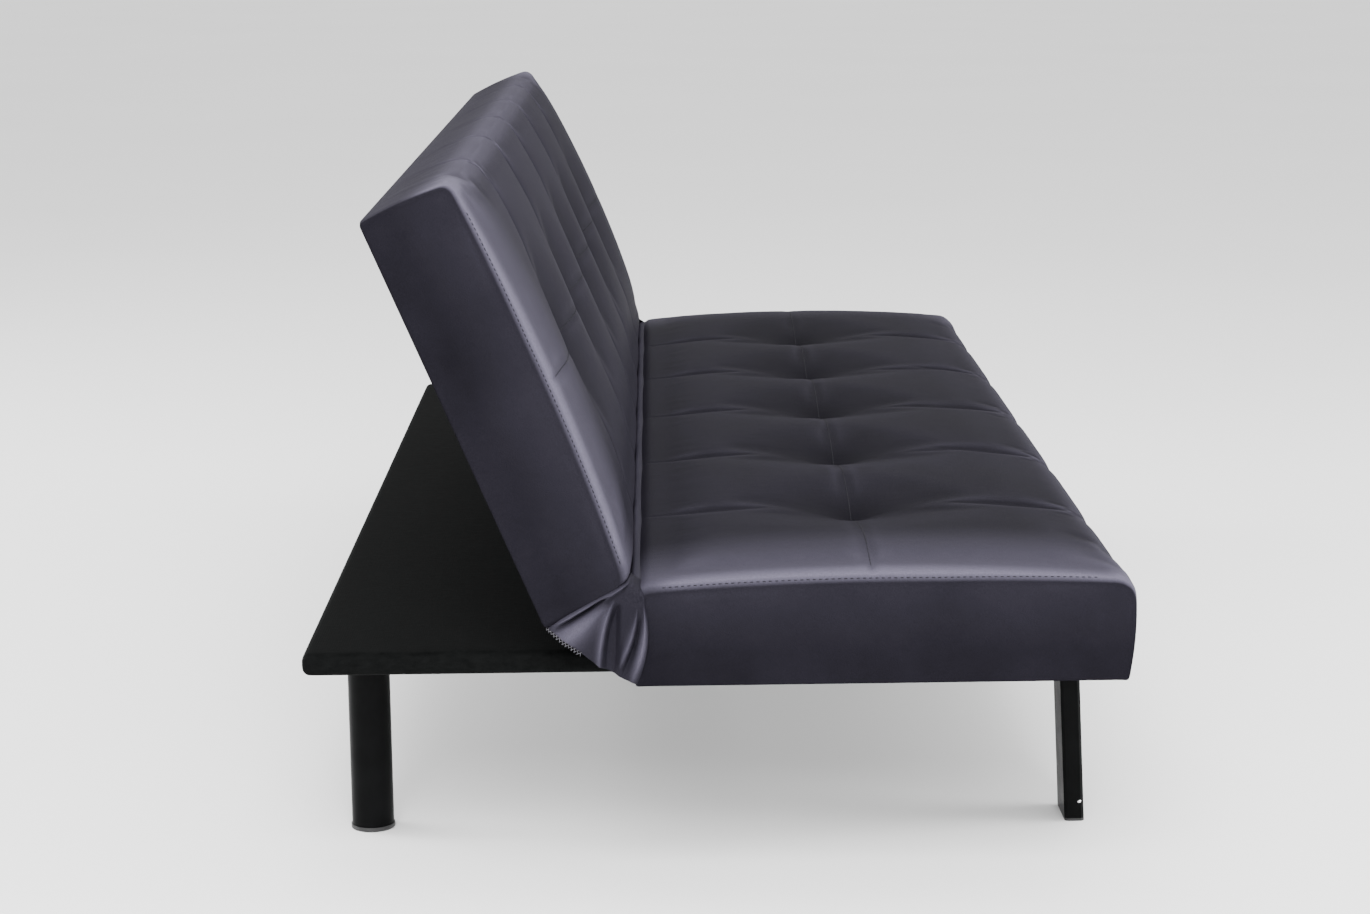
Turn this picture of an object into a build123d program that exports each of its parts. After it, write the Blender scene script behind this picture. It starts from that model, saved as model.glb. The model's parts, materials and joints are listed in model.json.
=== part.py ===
from build123d import *
import math
import os

# Sofa bed with a backrest that folds flat on ratchet hinges. Millimetres, +Z up.
# X runs along the length, the sitting side faces -Y, the floor is Z = 0.

# Overall and cushion sizes
LENGTH = 1800.0
SEAT_DEPTH = 483.0
SEAT_THICKNESS = 105.0
SEAT_UNDERSIDE = 230.0
BACK_HEIGHT = 422.0
BACK_THICKNESS = 100.0
BACK_LEAN = 23.0
FOLD_GAP = 66.0

# Tufted covers
PANELS = 6
LOBE_STEPS = (0.18, 0.5, 0.82)
SEAT_TUFT_LINE = 228.0
SEAT_CROWN = 16.0
BACK_CROWN = 20.0
CREASE = 3.0
SEAM_DIP = 4.0
TUFT_DEPTH = 8.0
EDGE_PINCH = 4.0
END_CROWN = 5.0
END_ROUND = 8.0
EDGE_ROUND = 20.0
FRONT_ROUND = 30.0
EDGE_RISE = 1.0
SIDE_DRAW = 4.0
COVER_WALL = 4.0
QUILT = 14.0

# Wooden frames and what lies on them
RAIL_WIDTH = 20.0
FRAME_TOP = 45.0
CLOTH = 1.5
WEB_WIDTH = 50.0
WEB_THICKNESS = 2.0
WEB_PITCH = 150.0
CROSS_GAP = 70.0
TIE_RADIUS = 1.5

# Black rear base
BASE_REACH = 334.0
BASE_UNDERLAP = 130.0
BASE_INSET = 75.0
BASE_RECESS = 18.0
BED_CLEARANCE = 1.0
BASE_THICKNESS = 24.0
BASE_WRAP = 3.0
BASE_CORNER = 14.0
BASE_EDGE = 9.0
PLANK_WIDTH = 60.0

# Legs
REAR_LEG_RADIUS = 22.5
REAR_LEG_WALL = 1.5
REAR_LEG_INSET = 290.0
REAR_LEG_FROM_EDGE = 45.0
GLIDE_HEIGHT = 5.0
GLIDE_LIP = 1.0
SPIGOT_HEIGHT = 28.0
FRONT_LEG_ALONG = 60.0
FRONT_LEG_ACROSS = 21.0
FRONT_LEG_WALL = 1.5
FRONT_LEG_INSET = 304.0
FRONT_LEG_SETBACK = 12.0
FOOT_SETBACK = 6.0
FRONT_LEG_LEAN = 2.5
FOOT_FLANGE = 3.0
PLATE_THICKNESS = 3.0
PLATE_ALONG = 90.0
PLATE_DEPTH = 62.0
PLATE_MARGIN = 3.0
RIVET_HEIGHT = 22.0
RIVET_OFFSET = 5.5
RIVET_RADIUS = 1.2

# Ratchet hinges
HINGE_POCKET = 8.0
ARM_THICKNESS = 3.0
ARM_WIDTH = 20.0
ARM_REACH = 140.0
ARM_LEVEL = 33.0
ARM_NECK = 14.0
DISC_RADIUS = 21.0
PIN_RADIUS = 5.0
PIN_HEAD_RADIUS = 8.0
HEAD_HEIGHT = 2.5
NOTCH_DEPTH = 3.6
NOTCH_WIDTH = 8.0
LOUNGE_ANGLE = 33.0
RELEASE_ANGLE = 10.0
PAWL_ALONG = 14.0
PAWL_EYE = 6.0
PAWL_NOSE = 2.5
PAWL_PIN = 2.5
NOSE_BEARING = -42.0
PAWL_THROW = 10.0
SPRING_WIRE = 0.6
SPRING_PEG = 1.25

# Fasteners and clearances
BOLT_RADIUS = 4.0
BOLT_HEAD = 8.0
BOLT_HEAD_HEIGHT = 4.0
SCREW_RADIUS = 2.5
SCREW_HEAD = 5.0
SCREW_LENGTH = 18.0
SHANK_SIDES = 6
HEAD_SIDES = 6
FIT = 0.3
BORE = 0.1
RUNNING = 0.05

# Derived places
half_length = LENGTH / 2
total_depth = SEAT_DEPTH + BASE_REACH
seat_rear_y = SEAT_DEPTH - total_depth / 2
seat_top = SEAT_UNDERSIDE + SEAT_THICKNESS
fold_angle = 90 - BACK_LEAN
lean = math.radians(BACK_LEAN)
bed_step = BASE_RECESS + BED_CLEARANCE + BACK_THICKNESS - SEAT_THICKNESS
fold_slope = 0.5 / math.tan(math.radians(fold_angle / 2))
seat_behind = FOLD_GAP / 2 + fold_slope * bed_step
back_behind = FOLD_GAP / 2 - fold_slope * bed_step
pivot_seat_level = SEAT_THICKNESS - fold_slope * FOLD_GAP + bed_step / 2
pivot_back_level = BACK_THICKNESS - fold_slope * FOLD_GAP - bed_step / 2
pivot_y = seat_rear_y + seat_behind
pivot_z = SEAT_UNDERSIDE + pivot_seat_level
back_up = Vector(0, math.sin(lean), math.cos(lean))
back_out = Vector(0, -math.cos(lean), math.sin(lean))
pivot = Vector(0, pivot_y, pivot_z)
back_origin = pivot + back_up * back_behind - back_out * pivot_back_level
inner_end = half_length - COVER_WALL
seat_rail_face = inner_end - HINGE_POCKET
back_rail_face = seat_rail_face - ARM_THICKNESS - FIT
seat_arm_x = seat_rail_face + ARM_THICKNESS / 2
back_arm_x = back_rail_face + ARM_THICKNESS / 2
base_top = SEAT_UNDERSIDE + BASE_RECESS
base_bottom = base_top - BASE_THICKNESS
base_length = LENGTH - 2 * BASE_INSET
base_depth = BASE_REACH + BASE_UNDERLAP
base_middle_y = seat_rear_y + (BASE_REACH - BASE_UNDERLAP) / 2
plank = BASE_THICKNESS - 2 * BASE_WRAP
front_leg_x = half_length - FRONT_LEG_INSET
block_half = PLATE_ALONG / 2 + RAIL_WIDTH / 2
cross_x = front_leg_x - block_half - CROSS_GAP - RAIL_WIDTH / 2
cross_places = [-cross_x, 0, cross_x]
panel = LENGTH / PANELS
tuft_places = [panel * (i + 1) - half_length for i in range(PANELS - 1)]
sides = (("left", -1), ("right", 1))

os.makedirs("parts", exist_ok=True)


def write(builder, name):
    builder.part.label = name
    export_step(builder.part, f"parts/{name}.step")


def seat_plane(x=0.0):
    """Section plane of the seat: local x forward from its rear face, local y up."""
    return Plane((x, seat_rear_y, SEAT_UNDERSIDE), x_dir=(0, -1, 0), z_dir=(-1, 0, 0))


def back_plane(x=0.0):
    """Section plane of the back: local x up its slope, local y out of its sitting face."""
    return Plane(back_origin + Vector(x, 0, 0), x_dir=back_up, z_dir=(1, 0, 0))


def bar(plane_at, low, high, half, middle=0.0):
    """A straight piece along X with a rectangular section between two local corners."""
    with BuildPart() as piece:
        with BuildSketch(plane_at(middle)):
            with Locations(((low[0] + high[0]) / 2, (low[1] + high[1]) / 2)):
                Rectangle(high[0] - low[0], high[1] - low[1])
        extrude(amount=half, both=True)
    return piece.part


def rod(start, direction, length, radius):
    """A round bar from a point along a direction."""
    with BuildPart() as piece:
        with BuildSketch(Plane(start, z_dir=direction)):
            Circle(radius)
        extrude(amount=length)
    return piece.part


def shank(start, direction, length, radius, count=SHANK_SIDES):
    """A fastener's bar with few sides, inside a circle of that radius."""
    with BuildPart() as piece:
        with BuildSketch(Plane(start, z_dir=direction)):
            RegularPolygon(radius, count)
        extrude(amount=length)
    return piece.part


def bore(start, direction, length, radius):
    """The hole for a fastener, with few sides, outside a circle of that radius."""
    with BuildPart() as piece:
        with BuildSketch(Plane(start, z_dir=direction)):
            RegularPolygon(radius, SHANK_SIDES, major_radius=False)
        extrude(amount=length)
    return piece.part


# Tufted covers

def stations(full_crown):
    """Places along X with the crown, the seam height, the end drop and the edge pinch there."""
    places = []
    for fraction in LOBE_STEPS:
        swell = math.sin(math.pi * fraction) ** 0.6
        crown = CREASE + (full_crown - CREASE) * swell
        pinch = EDGE_PINCH * (1 - swell) / 2
        for lobe in range(PANELS):
            places.append(((lobe + fraction) * panel - half_length, crown, crown - SEAM_DIP, 0, pinch))
    for x in tuft_places:
        places.append((x, CREASE, -TUFT_DEPTH, 0, EDGE_PINCH))
    for _, side in sides:
        places.append((side * (half_length - END_ROUND), END_CROWN, END_CROWN / 2, 0, 0))
        places.append((side * half_length, END_CROWN, END_CROWN / 2, END_ROUND, EDGE_PINCH / 2))
    return sorted(places)


def cover(plane_at, depth, thickness, tuft_line, full_crown, far_round):
    """Velvet skin: crowned panels, sewn channels and tufts, open under the frame."""
    with BuildPart() as skin:
        for x, crown, seam, drop, pinch in stations(full_crown):
            top = thickness - drop
            far = depth - pinch
            fold_end = (EDGE_ROUND, top + EDGE_RISE - pinch / 2)
            far_end = (far - far_round, top + EDGE_RISE - pinch / 2)
            valley = (tuft_line, top + seam)
            inset = EDGE_ROUND * (1 - math.sqrt(0.5))
            far_inset = far_round * (1 - math.sqrt(0.5))
            with BuildSketch(plane_at(x)):
                with BuildLine():
                    Line((0, 0), (depth - SIDE_DRAW, 0))
                    Line((depth - SIDE_DRAW, 0), (far, top - far_round))
                    ThreePointArc((far, top - far_round), (far - far_inset, top - far_inset), far_end)
                    ThreePointArc(far_end, ((far_end[0] + tuft_line) / 2, top + crown), valley)
                    ThreePointArc(valley, ((fold_end[0] + tuft_line) / 2, top + crown), fold_end)
                    ThreePointArc(fold_end, (inset, top - inset), (0, top - EDGE_ROUND))
                    Line((0, top - EDGE_ROUND), (0, 0))
                make_face()
        loft(ruled=True)
        room_far = depth - SIDE_DRAW - COVER_WALL
        room_top = thickness - QUILT
        with BuildSketch(plane_at()):
            with Locations(((room_far + COVER_WALL) / 2, room_top / 2)):
                Rectangle(room_far - COVER_WALL, room_top)
            with Locations((COVER_WALL, FRAME_TOP / 2)):
                Rectangle(4 * COVER_WALL, FRAME_TOP)
        extrude(amount=inner_end, both=True, mode=Mode.SUBTRACT)
    return skin


def cushion(name, plane_at, depth, thickness, tuft_line, full_crown, far_round, rail_face, rail_low,
            fold_rail, far_rail, bores):
    """Frame, webbing, foam, ties, cover and underside cloth of one upholstered block."""
    far = depth - SIDE_DRAW - COVER_WALL
    between = rail_face - RAIL_WIDTH
    low = CLOTH
    with BuildPart() as fold_side:
        add(bar(plane_at, (0, rail_low), (RAIL_WIDTH, FRAME_TOP), between))
        for x in bores["bolts"]:
            add(bore((x, bolt_rows[0], base_top), (0, 0, 1), bolt_grip + FIT, BOLT_RADIUS + BORE),
                mode=Mode.SUBTRACT)
    write(fold_side, fold_rail)
    with BuildPart() as far_side:
        add(bar(plane_at, (far - RAIL_WIDTH, low), (far, FRAME_TOP), between))
        for place in bores["front"]:
            add(bore(place, (0, 0, 1), SCREW_LENGTH + FIT, SCREW_RADIUS + BORE), mode=Mode.SUBTRACT)
    write(far_side, far_rail)
    arm_x = rail_face
    for side_name, side in sides:
        with BuildPart() as side_rail:
            add(bar(plane_at, (0, low), (far, FRAME_TOP), RAIL_WIDTH / 2,
                    side * (rail_face - RAIL_WIDTH / 2)))
            for reach in screw_reaches:
                hole = plane_at(side * arm_x).from_local_coords((reach, ARM_LEVEL, 0))
                add(bore(hole, (-side, 0, 0), RAIL_WIDTH - FIT, SCREW_RADIUS + BORE), mode=Mode.SUBTRACT)
        write(side_rail, f"{name}_{side_name}_rail")
    with BuildPart() as cross_rails:
        for x in cross_places:
            add(bar(plane_at, (RAIL_WIDTH, rail_low), (far - RAIL_WIDTH, FRAME_TOP), RAIL_WIDTH / 2, x))
        for x in bores["bolts"]:
            add(bore((x, bolt_rows[1], base_top), (0, 0, 1), bolt_grip + FIT, BOLT_RADIUS + BORE),
                mode=Mode.SUBTRACT)
    write(cross_rails, f"{name}_cross_rails")
    with BuildPart() as webbing:
        count = int((LENGTH - WEB_PITCH) // WEB_PITCH)
        for i in range(count):
            x = (i - (count - 1) / 2) * WEB_PITCH
            add(bar(plane_at, (COVER_WALL + FIT, FRAME_TOP), (far - FIT, FRAME_TOP + WEB_THICKNESS),
                    WEB_WIDTH / 2, x))
    write(webbing, f"{name}_webbing")
    foam_low = FRAME_TOP + WEB_THICKNESS
    foam_high = thickness - QUILT
    with BuildPart() as foam:
        add(bar(plane_at, (COVER_WALL + FIT, foam_low), (far - FIT, foam_high), inner_end - FIT))
        for x in tuft_places:
            start = plane_at(x).from_local_coords((tuft_line, foam_low, 0))
            up = plane_at(x).y_dir
            add(bore(start, up, foam_high - foam_low, TIE_RADIUS + FIT), mode=Mode.SUBTRACT)
    write(foam, f"{name}_foam")
    with BuildPart() as ties:
        for x in tuft_places:
            start = plane_at(x).from_local_coords((tuft_line, foam_low, 0))
            add(shank(start, plane_at(x).y_dir, foam_high - foam_low, TIE_RADIUS))
    write(ties, f"{name}_tuft_ties")
    write(cover(plane_at, depth, thickness, tuft_line, full_crown, far_round), f"{name}_cover")
    with BuildPart() as cloth:
        add(bar(plane_at, (0, 0), (far - FIT, CLOTH), inner_end - FIT))
        if rail_low > CLOTH:
            add(bar(plane_at, (-FIT, 0), (BASE_UNDERLAP + FIT, CLOTH), base_length / 2 + FIT),
                mode=Mode.SUBTRACT)
        for place in bores["cloth"]:
            add(bore(place, (0, 0, 1), CLOTH, SCREW_RADIUS + FIT), mode=Mode.SUBTRACT)
    write(cloth, f"{name}_dust_cover")


# Places that several pieces share
bolt_line = BASE_UNDERLAP - PLANK_WIDTH / 2
bolt_grip = FRAME_TOP - BASE_RECESS - RAIL_WIDTH / 2
screw_reaches = [ARM_REACH - i * ARM_WIDTH * 2 for i in range(3)]
foot_y = FRONT_LEG_ACROSS / 2 + FOOT_SETBACK - total_depth / 2
leg_rise = math.tan(math.radians(FRONT_LEG_LEAN))
leg_top_z = SEAT_UNDERSIDE - PLATE_THICKNESS
plate_far_y = FRONT_LEG_SETBACK - total_depth / 2
plate_y = plate_far_y + PLATE_DEPTH / 2
block_depth = PLATE_DEPTH - RAIL_WIDTH
front_rail_y = SIDE_DRAW + COVER_WALL - total_depth / 2
screw_front_y = front_rail_y + RAIL_WIDTH / 2
screw_rear_y = front_rail_y + RAIL_WIDTH + block_depth * 0.6
plate_screw_x = PLATE_ALONG / 2 - SCREW_HEAD - PLATE_MARGIN
screw_columns = [side * front_leg_x + shift * plate_screw_x for _, side in sides for shift in (-1, 1)]
front_screws = [(x, screw_front_y, SEAT_UNDERSIDE) for x in screw_columns]
rear_screws = [(x, screw_rear_y, SEAT_UNDERSIDE) for x in screw_columns]
bolt_rows = [seat_rear_y - RAIL_WIDTH / 2, seat_rear_y - bolt_line]
bolt_points = [(x, y) for x in cross_places for y in bolt_rows]

seat_bores = {"bolts": cross_places, "front": front_screws, "cloth": front_screws + rear_screws}
back_bores = {"bolts": [], "front": [], "cloth": []}

cushion("seat", seat_plane, SEAT_DEPTH, SEAT_THICKNESS, SEAT_TUFT_LINE, SEAT_CROWN, FRONT_ROUND,
        seat_rail_face, BASE_RECESS, "seat_rear_rail", "seat_front_rail", seat_bores)
cushion("back", back_plane, BACK_HEIGHT, BACK_THICKNESS, BACK_HEIGHT / 2, BACK_CROWN, EDGE_ROUND,
        back_rail_face, CLOTH, "back_bottom_rail", "back_top_rail", back_bores)

# Blocks behind the front rail that take the rear screws of the leg plates
with BuildPart() as front_leg_blocks:
    for _, side in sides:
        with Locations((side * front_leg_x, front_rail_y + RAIL_WIDTH + block_depth / 2,
                        SEAT_UNDERSIDE + (CLOTH + FRAME_TOP) / 2)):
            Box(2 * block_half, block_depth, FRAME_TOP - CLOTH)
    for place in rear_screws:
        add(bore(place, (0, 0, 1), SCREW_LENGTH + FIT, SCREW_RADIUS + BORE), mode=Mode.SUBTRACT)
write(front_leg_blocks, "front_leg_blocks")

# Rear base: flat planks in a black cloth wrap
base_middle_z = base_bottom + BASE_THICKNESS / 2
base_room_x = base_length / 2 - BASE_WRAP
base_front_y = base_middle_y - base_depth / 2 + BASE_WRAP
base_rear_y = base_middle_y + base_depth / 2 - BASE_WRAP
rear_leg_x = half_length - REAR_LEG_INSET
rear_leg_y = base_middle_y + base_depth / 2 - REAR_LEG_FROM_EDGE

with BuildPart() as base_cover:
    with BuildSketch(Plane.XY.offset(base_bottom)):
        with Locations((0, base_middle_y)):
            RectangleRounded(base_length, base_depth, BASE_CORNER)
    extrude(amount=BASE_THICKNESS)
    rims = base_cover.faces().sort_by(Axis.Z)
    fillet(rims[-1].edges(), BASE_EDGE)
    chamfer(rims[0].edges(), BASE_EDGE / 2)
    with Locations((0, base_middle_y, base_middle_z)):
        Box(base_length - 2 * BASE_WRAP - 2 * BASE_EDGE, base_depth - 2 * BASE_WRAP - 2 * BASE_EDGE,
            plank, mode=Mode.SUBTRACT)
    for x, y in bolt_points:
        add(bore((x, y, base_bottom), (0, 0, 1), BASE_THICKNESS, BOLT_RADIUS + FIT), mode=Mode.SUBTRACT)
    for _, side in sides:
        add(bore((side * rear_leg_x, rear_leg_y, base_bottom), (0, 0, 1), BASE_THICKNESS / 2,
                BOLT_RADIUS + FIT), mode=Mode.SUBTRACT)
write(base_cover, "base_cover")

plank_x = base_room_x - BASE_EDGE
plank_front = base_front_y + BASE_EDGE
plank_rear = base_rear_y - BASE_EDGE


def flat_plank(x0, x1, y0, y1):
    """A plank lying flat in the base."""
    with BuildPart() as piece:
        with Locations(((x0 + x1) / 2, (y0 + y1) / 2, base_middle_z)):
            Box(x1 - x0, y1 - y0, plank)
    return piece.part


with BuildPart() as base_front_rail:
    add(flat_plank(-plank_x, plank_x, plank_front, plank_front + PLANK_WIDTH))
    for x in cross_places:
        add(bore((x, bolt_rows[1], base_bottom), (0, 0, 1), BASE_THICKNESS, BOLT_RADIUS + BORE),
            mode=Mode.SUBTRACT)
write(base_front_rail, "base_front_rail")

with BuildPart() as base_rear_rail:
    add(flat_plank(-plank_x, plank_x, plank_rear - PLANK_WIDTH, plank_rear))
    for _, side in sides:
        add(bore((side * rear_leg_x, rear_leg_y, base_bottom), (0, 0, 1), BASE_THICKNESS,
                BOLT_RADIUS + BORE), mode=Mode.SUBTRACT)
write(base_rear_rail, "base_rear_rail")

with BuildPart() as base_end_rails:
    for _, side in sides:
        ends = sorted((side * plank_x, side * (plank_x - PLANK_WIDTH)))
        add(flat_plank(ends[0], ends[1], plank_front + PLANK_WIDTH, plank_rear - PLANK_WIDTH))
write(base_end_rails, "base_end_rails")

with BuildPart() as base_cross_rails:
    for x in cross_places:
        add(flat_plank(x - PLANK_WIDTH / 2, x + PLANK_WIDTH / 2, plank_front + PLANK_WIDTH,
                       plank_rear - PLANK_WIDTH))
        add(bore((x, bolt_rows[0], base_bottom), (0, 0, 1), BASE_THICKNESS, BOLT_RADIUS + BORE),
            mode=Mode.SUBTRACT)
write(base_cross_rails, "base_cross_rails")

bolt_length = BASE_THICKNESS + bolt_grip
with BuildPart() as base_bolts:
    for x, y in bolt_points:
        add(shank((x, y, base_bottom), (0, 0, 1), bolt_length, BOLT_RADIUS))
        add(shank((x, y, base_bottom), (0, 0, -1), BOLT_HEAD_HEIGHT, BOLT_HEAD, HEAD_SIDES))
write(base_bolts, "base_bolts")

# Rear legs: closed round tubes with a welded hexagon nut, a stud and a glide
boss_depth = 4 * BOLT_RADIUS
tube_bottom = GLIDE_HEIGHT
tube_inner = REAR_LEG_RADIUS - REAR_LEG_WALL
for side_name, side in sides:
    leg_plane = Plane((side * rear_leg_x, rear_leg_y, 0), x_dir=(1, 0, 0), z_dir=(0, -1, 0))
    with BuildPart() as rear_leg:
        with BuildSketch(leg_plane):
            with BuildLine():
                Polyline(
                    (REAR_LEG_RADIUS, base_bottom),
                    (REAR_LEG_RADIUS, tube_bottom),
                    (tube_inner, tube_bottom),
                    (tube_inner, base_bottom - PLATE_THICKNESS),
                    (0, base_bottom - PLATE_THICKNESS),
                    (0, base_bottom),
                    close=True,
                )
            make_face()
        revolve(axis=Axis((side * rear_leg_x, rear_leg_y, 0), (0, 0, 1)))
        crown = (side * rear_leg_x, rear_leg_y, base_bottom)
        add(shank(crown, (0, 0, -1), boss_depth, 2 * BOLT_RADIUS, HEAD_SIDES))
        add(rod(crown, (0, 0, -1), boss_depth, BOLT_RADIUS + BORE), mode=Mode.SUBTRACT)
    write(rear_leg, f"rear_leg_{side_name}")

with BuildPart() as rear_leg_studs:
    for _, side in sides:
        foot = (side * rear_leg_x, rear_leg_y, base_bottom - boss_depth)
        add(shank(foot, (0, 0, 1), boss_depth + BASE_WRAP + plank, BOLT_RADIUS))
write(rear_leg_studs, "rear_leg_studs")

with BuildPart() as rear_leg_glides:
    for _, side in sides:
        foot = (side * rear_leg_x, rear_leg_y, 0)
        add(rod(foot, (0, 0, 1), GLIDE_HEIGHT, REAR_LEG_RADIUS + GLIDE_LIP))
        add(shank(foot, (0, 0, 1), SPIGOT_HEIGHT, tube_inner - FIT, 2 * SHANK_SIDES))
    lips = rear_leg_glides.edges().filter_by(GeomType.CIRCLE).filter_by_position(Axis.Z, -FIT, FIT)
    chamfer(lips, GLIDE_LIP)
write(rear_leg_glides, "rear_leg_glides")

# Front legs: flat tube leaning forward at the foot, welded under a screwed plate


def leaning_block(x, z0, z1, along, across, corner):
    """A block with level ends that leans like the front leg, with bevelled corners."""
    with BuildPart() as piece:
        with BuildSketch(Plane.XY.offset(z0)) as foot:
            with Locations((x, foot_y + leg_rise * z0)):
                Rectangle(along, across)
            chamfer(foot.vertices(), corner)
        extrude(amount=(z1 - z0) / math.cos(math.radians(FRONT_LEG_LEAN)), dir=(0, leg_rise, 1))
    return piece.part


leg_corner = 2 * FRONT_LEG_WALL
hollow_along = FRONT_LEG_ALONG - 2 * FRONT_LEG_WALL
hollow_across = FRONT_LEG_ACROSS - 2 * FRONT_LEG_WALL
rivet_y = foot_y - RIVET_OFFSET + leg_rise * RIVET_HEIGHT
for side_name, side in sides:
    leg_x = side * front_leg_x
    face_x = side * (front_leg_x + FRONT_LEG_ALONG / 2)
    with BuildPart() as front_leg:
        add(leaning_block(leg_x, FOOT_FLANGE, leg_top_z, FRONT_LEG_ALONG, FRONT_LEG_ACROSS, leg_corner))
        add(leaning_block(leg_x, FOOT_FLANGE, leg_top_z, hollow_along, hollow_across, FRONT_LEG_WALL),
            mode=Mode.SUBTRACT)
        with Locations((leg_x, plate_y, SEAT_UNDERSIDE - PLATE_THICKNESS / 2)):
            Box(PLATE_ALONG, PLATE_DEPTH, PLATE_THICKNESS)
        for x, y, z in front_screws + rear_screws:
            add(bore((x, y, z), (0, 0, -1), PLATE_THICKNESS, SCREW_RADIUS + BORE), mode=Mode.SUBTRACT)
        add(bore((face_x, rivet_y, RIVET_HEIGHT), (-side, 0, 0), 2 * FRONT_LEG_WALL, RIVET_RADIUS + BORE),
            mode=Mode.SUBTRACT)
    write(front_leg, f"front_leg_{side_name}")

rivet_depth = 4 * FRONT_LEG_WALL
with BuildPart() as front_leg_feet:
    for _, side in sides:
        leg_x = side * front_leg_x
        face_x = side * (front_leg_x + FRONT_LEG_ALONG / 2)
        add(leaning_block(leg_x, 0, FOOT_FLANGE, FRONT_LEG_ALONG, FRONT_LEG_ACROSS, leg_corner))
        add(leaning_block(leg_x, FOOT_FLANGE, SPIGOT_HEIGHT + FOOT_FLANGE, hollow_along - 2 * FIT,
                          hollow_across - 2 * FIT, FRONT_LEG_WALL - FIT))
        add(bore((face_x, rivet_y, RIVET_HEIGHT), (-side, 0, 0), rivet_depth + FIT, RIVET_RADIUS + BORE),
            mode=Mode.SUBTRACT)
write(front_leg_feet, "front_leg_feet")

with BuildPart() as front_leg_rivets:
    for _, side in sides:
        face_x = side * (front_leg_x + FRONT_LEG_ALONG / 2)
        face = (face_x, rivet_y, RIVET_HEIGHT)
        add(shank(face, (-side, 0, 0), rivet_depth, RIVET_RADIUS))
        with BuildPart() as head:
            add(shank(face, (side, 0, 0), FRONT_LEG_WALL, 1.6 * RIVET_RADIUS, 2 * SHANK_SIDES))
            crown_face = head.faces().sort_by(Axis.X)[-1 if side > 0 else 0]
            chamfer(crown_face.edges(), FRONT_LEG_WALL / 2)
        add(head.part)
write(front_leg_rivets, "front_leg_rivets")

with BuildPart() as front_leg_screws:
    for x, y, z in front_screws + rear_screws:
        bottom = z - PLATE_THICKNESS
        add(shank((x, y, bottom), (0, 0, 1), PLATE_THICKNESS + SCREW_LENGTH, SCREW_RADIUS))
        add(shank((x, y, bottom), (0, 0, -1), HEAD_HEIGHT, SCREW_HEAD))
write(front_leg_screws, "front_leg_screws")

# Ratchet hinges


def bearing(angle, radius):
    """Local offset on a section plane at an angle and a distance."""
    turn = math.radians(angle)
    return (radius * math.cos(turn), radius * math.sin(turn))


pawl_place = (PAWL_ALONG, ARM_LEVEL)
nose_step = bearing(NOSE_BEARING, DISC_RADIUS + FIT + PAWL_NOSE)
nose_place = (nose_step[0] - back_behind, nose_step[1] + pivot_back_level)
notch_angles = [fold_angle, LOUNGE_ANGLE, 0, -RELEASE_ANGLE / 2, -RELEASE_ANGLE]
lever = math.dist(pawl_place, nose_place)
lever_angle = math.degrees(math.atan2(nose_place[1] - pawl_place[1], nose_place[0] - pawl_place[0]))
lock_step = bearing(lever_angle - PAWL_THROW, lever)
lock_place = (pawl_place[0] + lock_step[0] + back_behind, pawl_place[1] + lock_step[1] - pivot_back_level)
lock_bearing = math.degrees(math.atan2(lock_place[1], lock_place[0]))
peg_place = (PAWL_ALONG + 2.4 * PAWL_EYE, ARM_LEVEL - ARM_WIDTH / 3)
lever_low = (pawl_place[1] + nose_place[1]) / 2 - (PAWL_EYE + PAWL_NOSE) / 2
spring_tip = ((pawl_place[0] + nose_place[0]) / 2, lever_low - SPRING_WIRE - 2 * FIT)


def arm_outline(behind, level, pin_bore, screw_bore):
    """Bar, neck and disc of one hinge arm with its bores."""
    with BuildLine() as neck:
        CenterArc((-behind, level), DISC_RADIUS, 0, 360)
        CenterArc((-ARM_NECK, ARM_LEVEL), ARM_WIDTH / 2, 0, 360)
    make_hull(neck.edges())
    with Locations(((ARM_REACH - ARM_NECK) / 2, ARM_LEVEL)):
        SlotCenterToCenter(ARM_REACH + ARM_NECK, ARM_WIDTH)
    with Locations((-behind, level)):
        Circle(pin_bore, mode=Mode.SUBTRACT)
    for reach in screw_reaches:
        with Locations((reach, ARM_LEVEL)):
            RegularPolygon(screw_bore, SHANK_SIDES, major_radius=False, mode=Mode.SUBTRACT)


for side_name, side in sides:
    with BuildPart() as seat_arm:
        with BuildSketch(seat_plane(side * seat_arm_x)):
            arm_outline(seat_behind, pivot_seat_level, PIN_RADIUS, SCREW_RADIUS + BORE)
            for recline in notch_angles:
                turn = 180 - (fold_angle - recline + lock_bearing)
                step = bearing(turn, DISC_RADIUS)
                with Locations(Location((step[0] - seat_behind, step[1] + pivot_seat_level, 0), turn)):
                    Rectangle(2 * NOTCH_DEPTH, NOTCH_WIDTH, mode=Mode.SUBTRACT)
        extrude(amount=ARM_THICKNESS / 2, both=True)
    write(seat_arm, f"hinge_seat_arm_{side_name}")

    with BuildPart() as back_arm:
        with BuildSketch(back_plane(side * back_arm_x)):
            arm_outline(back_behind, pivot_back_level, PIN_RADIUS + RUNNING, SCREW_RADIUS + BORE)
            with Locations(pawl_place):
                Circle(PAWL_PIN, mode=Mode.SUBTRACT)
            with Locations(peg_place):
                RegularPolygon(SPRING_PEG, SHANK_SIDES, major_radius=False, mode=Mode.SUBTRACT)
        extrude(amount=ARM_THICKNESS / 2, both=True)
    write(back_arm, f"hinge_back_arm_{side_name}")

    with BuildPart() as pawl:
        with BuildSketch(back_plane(side * seat_arm_x)):
            with BuildLine():
                CenterArc(pawl_place, PAWL_EYE, 0, 360)
                CenterArc(nose_place, PAWL_NOSE, 0, 360)
            make_hull()
            with Locations(pawl_place):
                Circle(PAWL_PIN + RUNNING, mode=Mode.SUBTRACT)
        extrude(amount=ARM_THICKNESS / 2, both=True)
    write(pawl, f"pawl_{side_name}")

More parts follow.
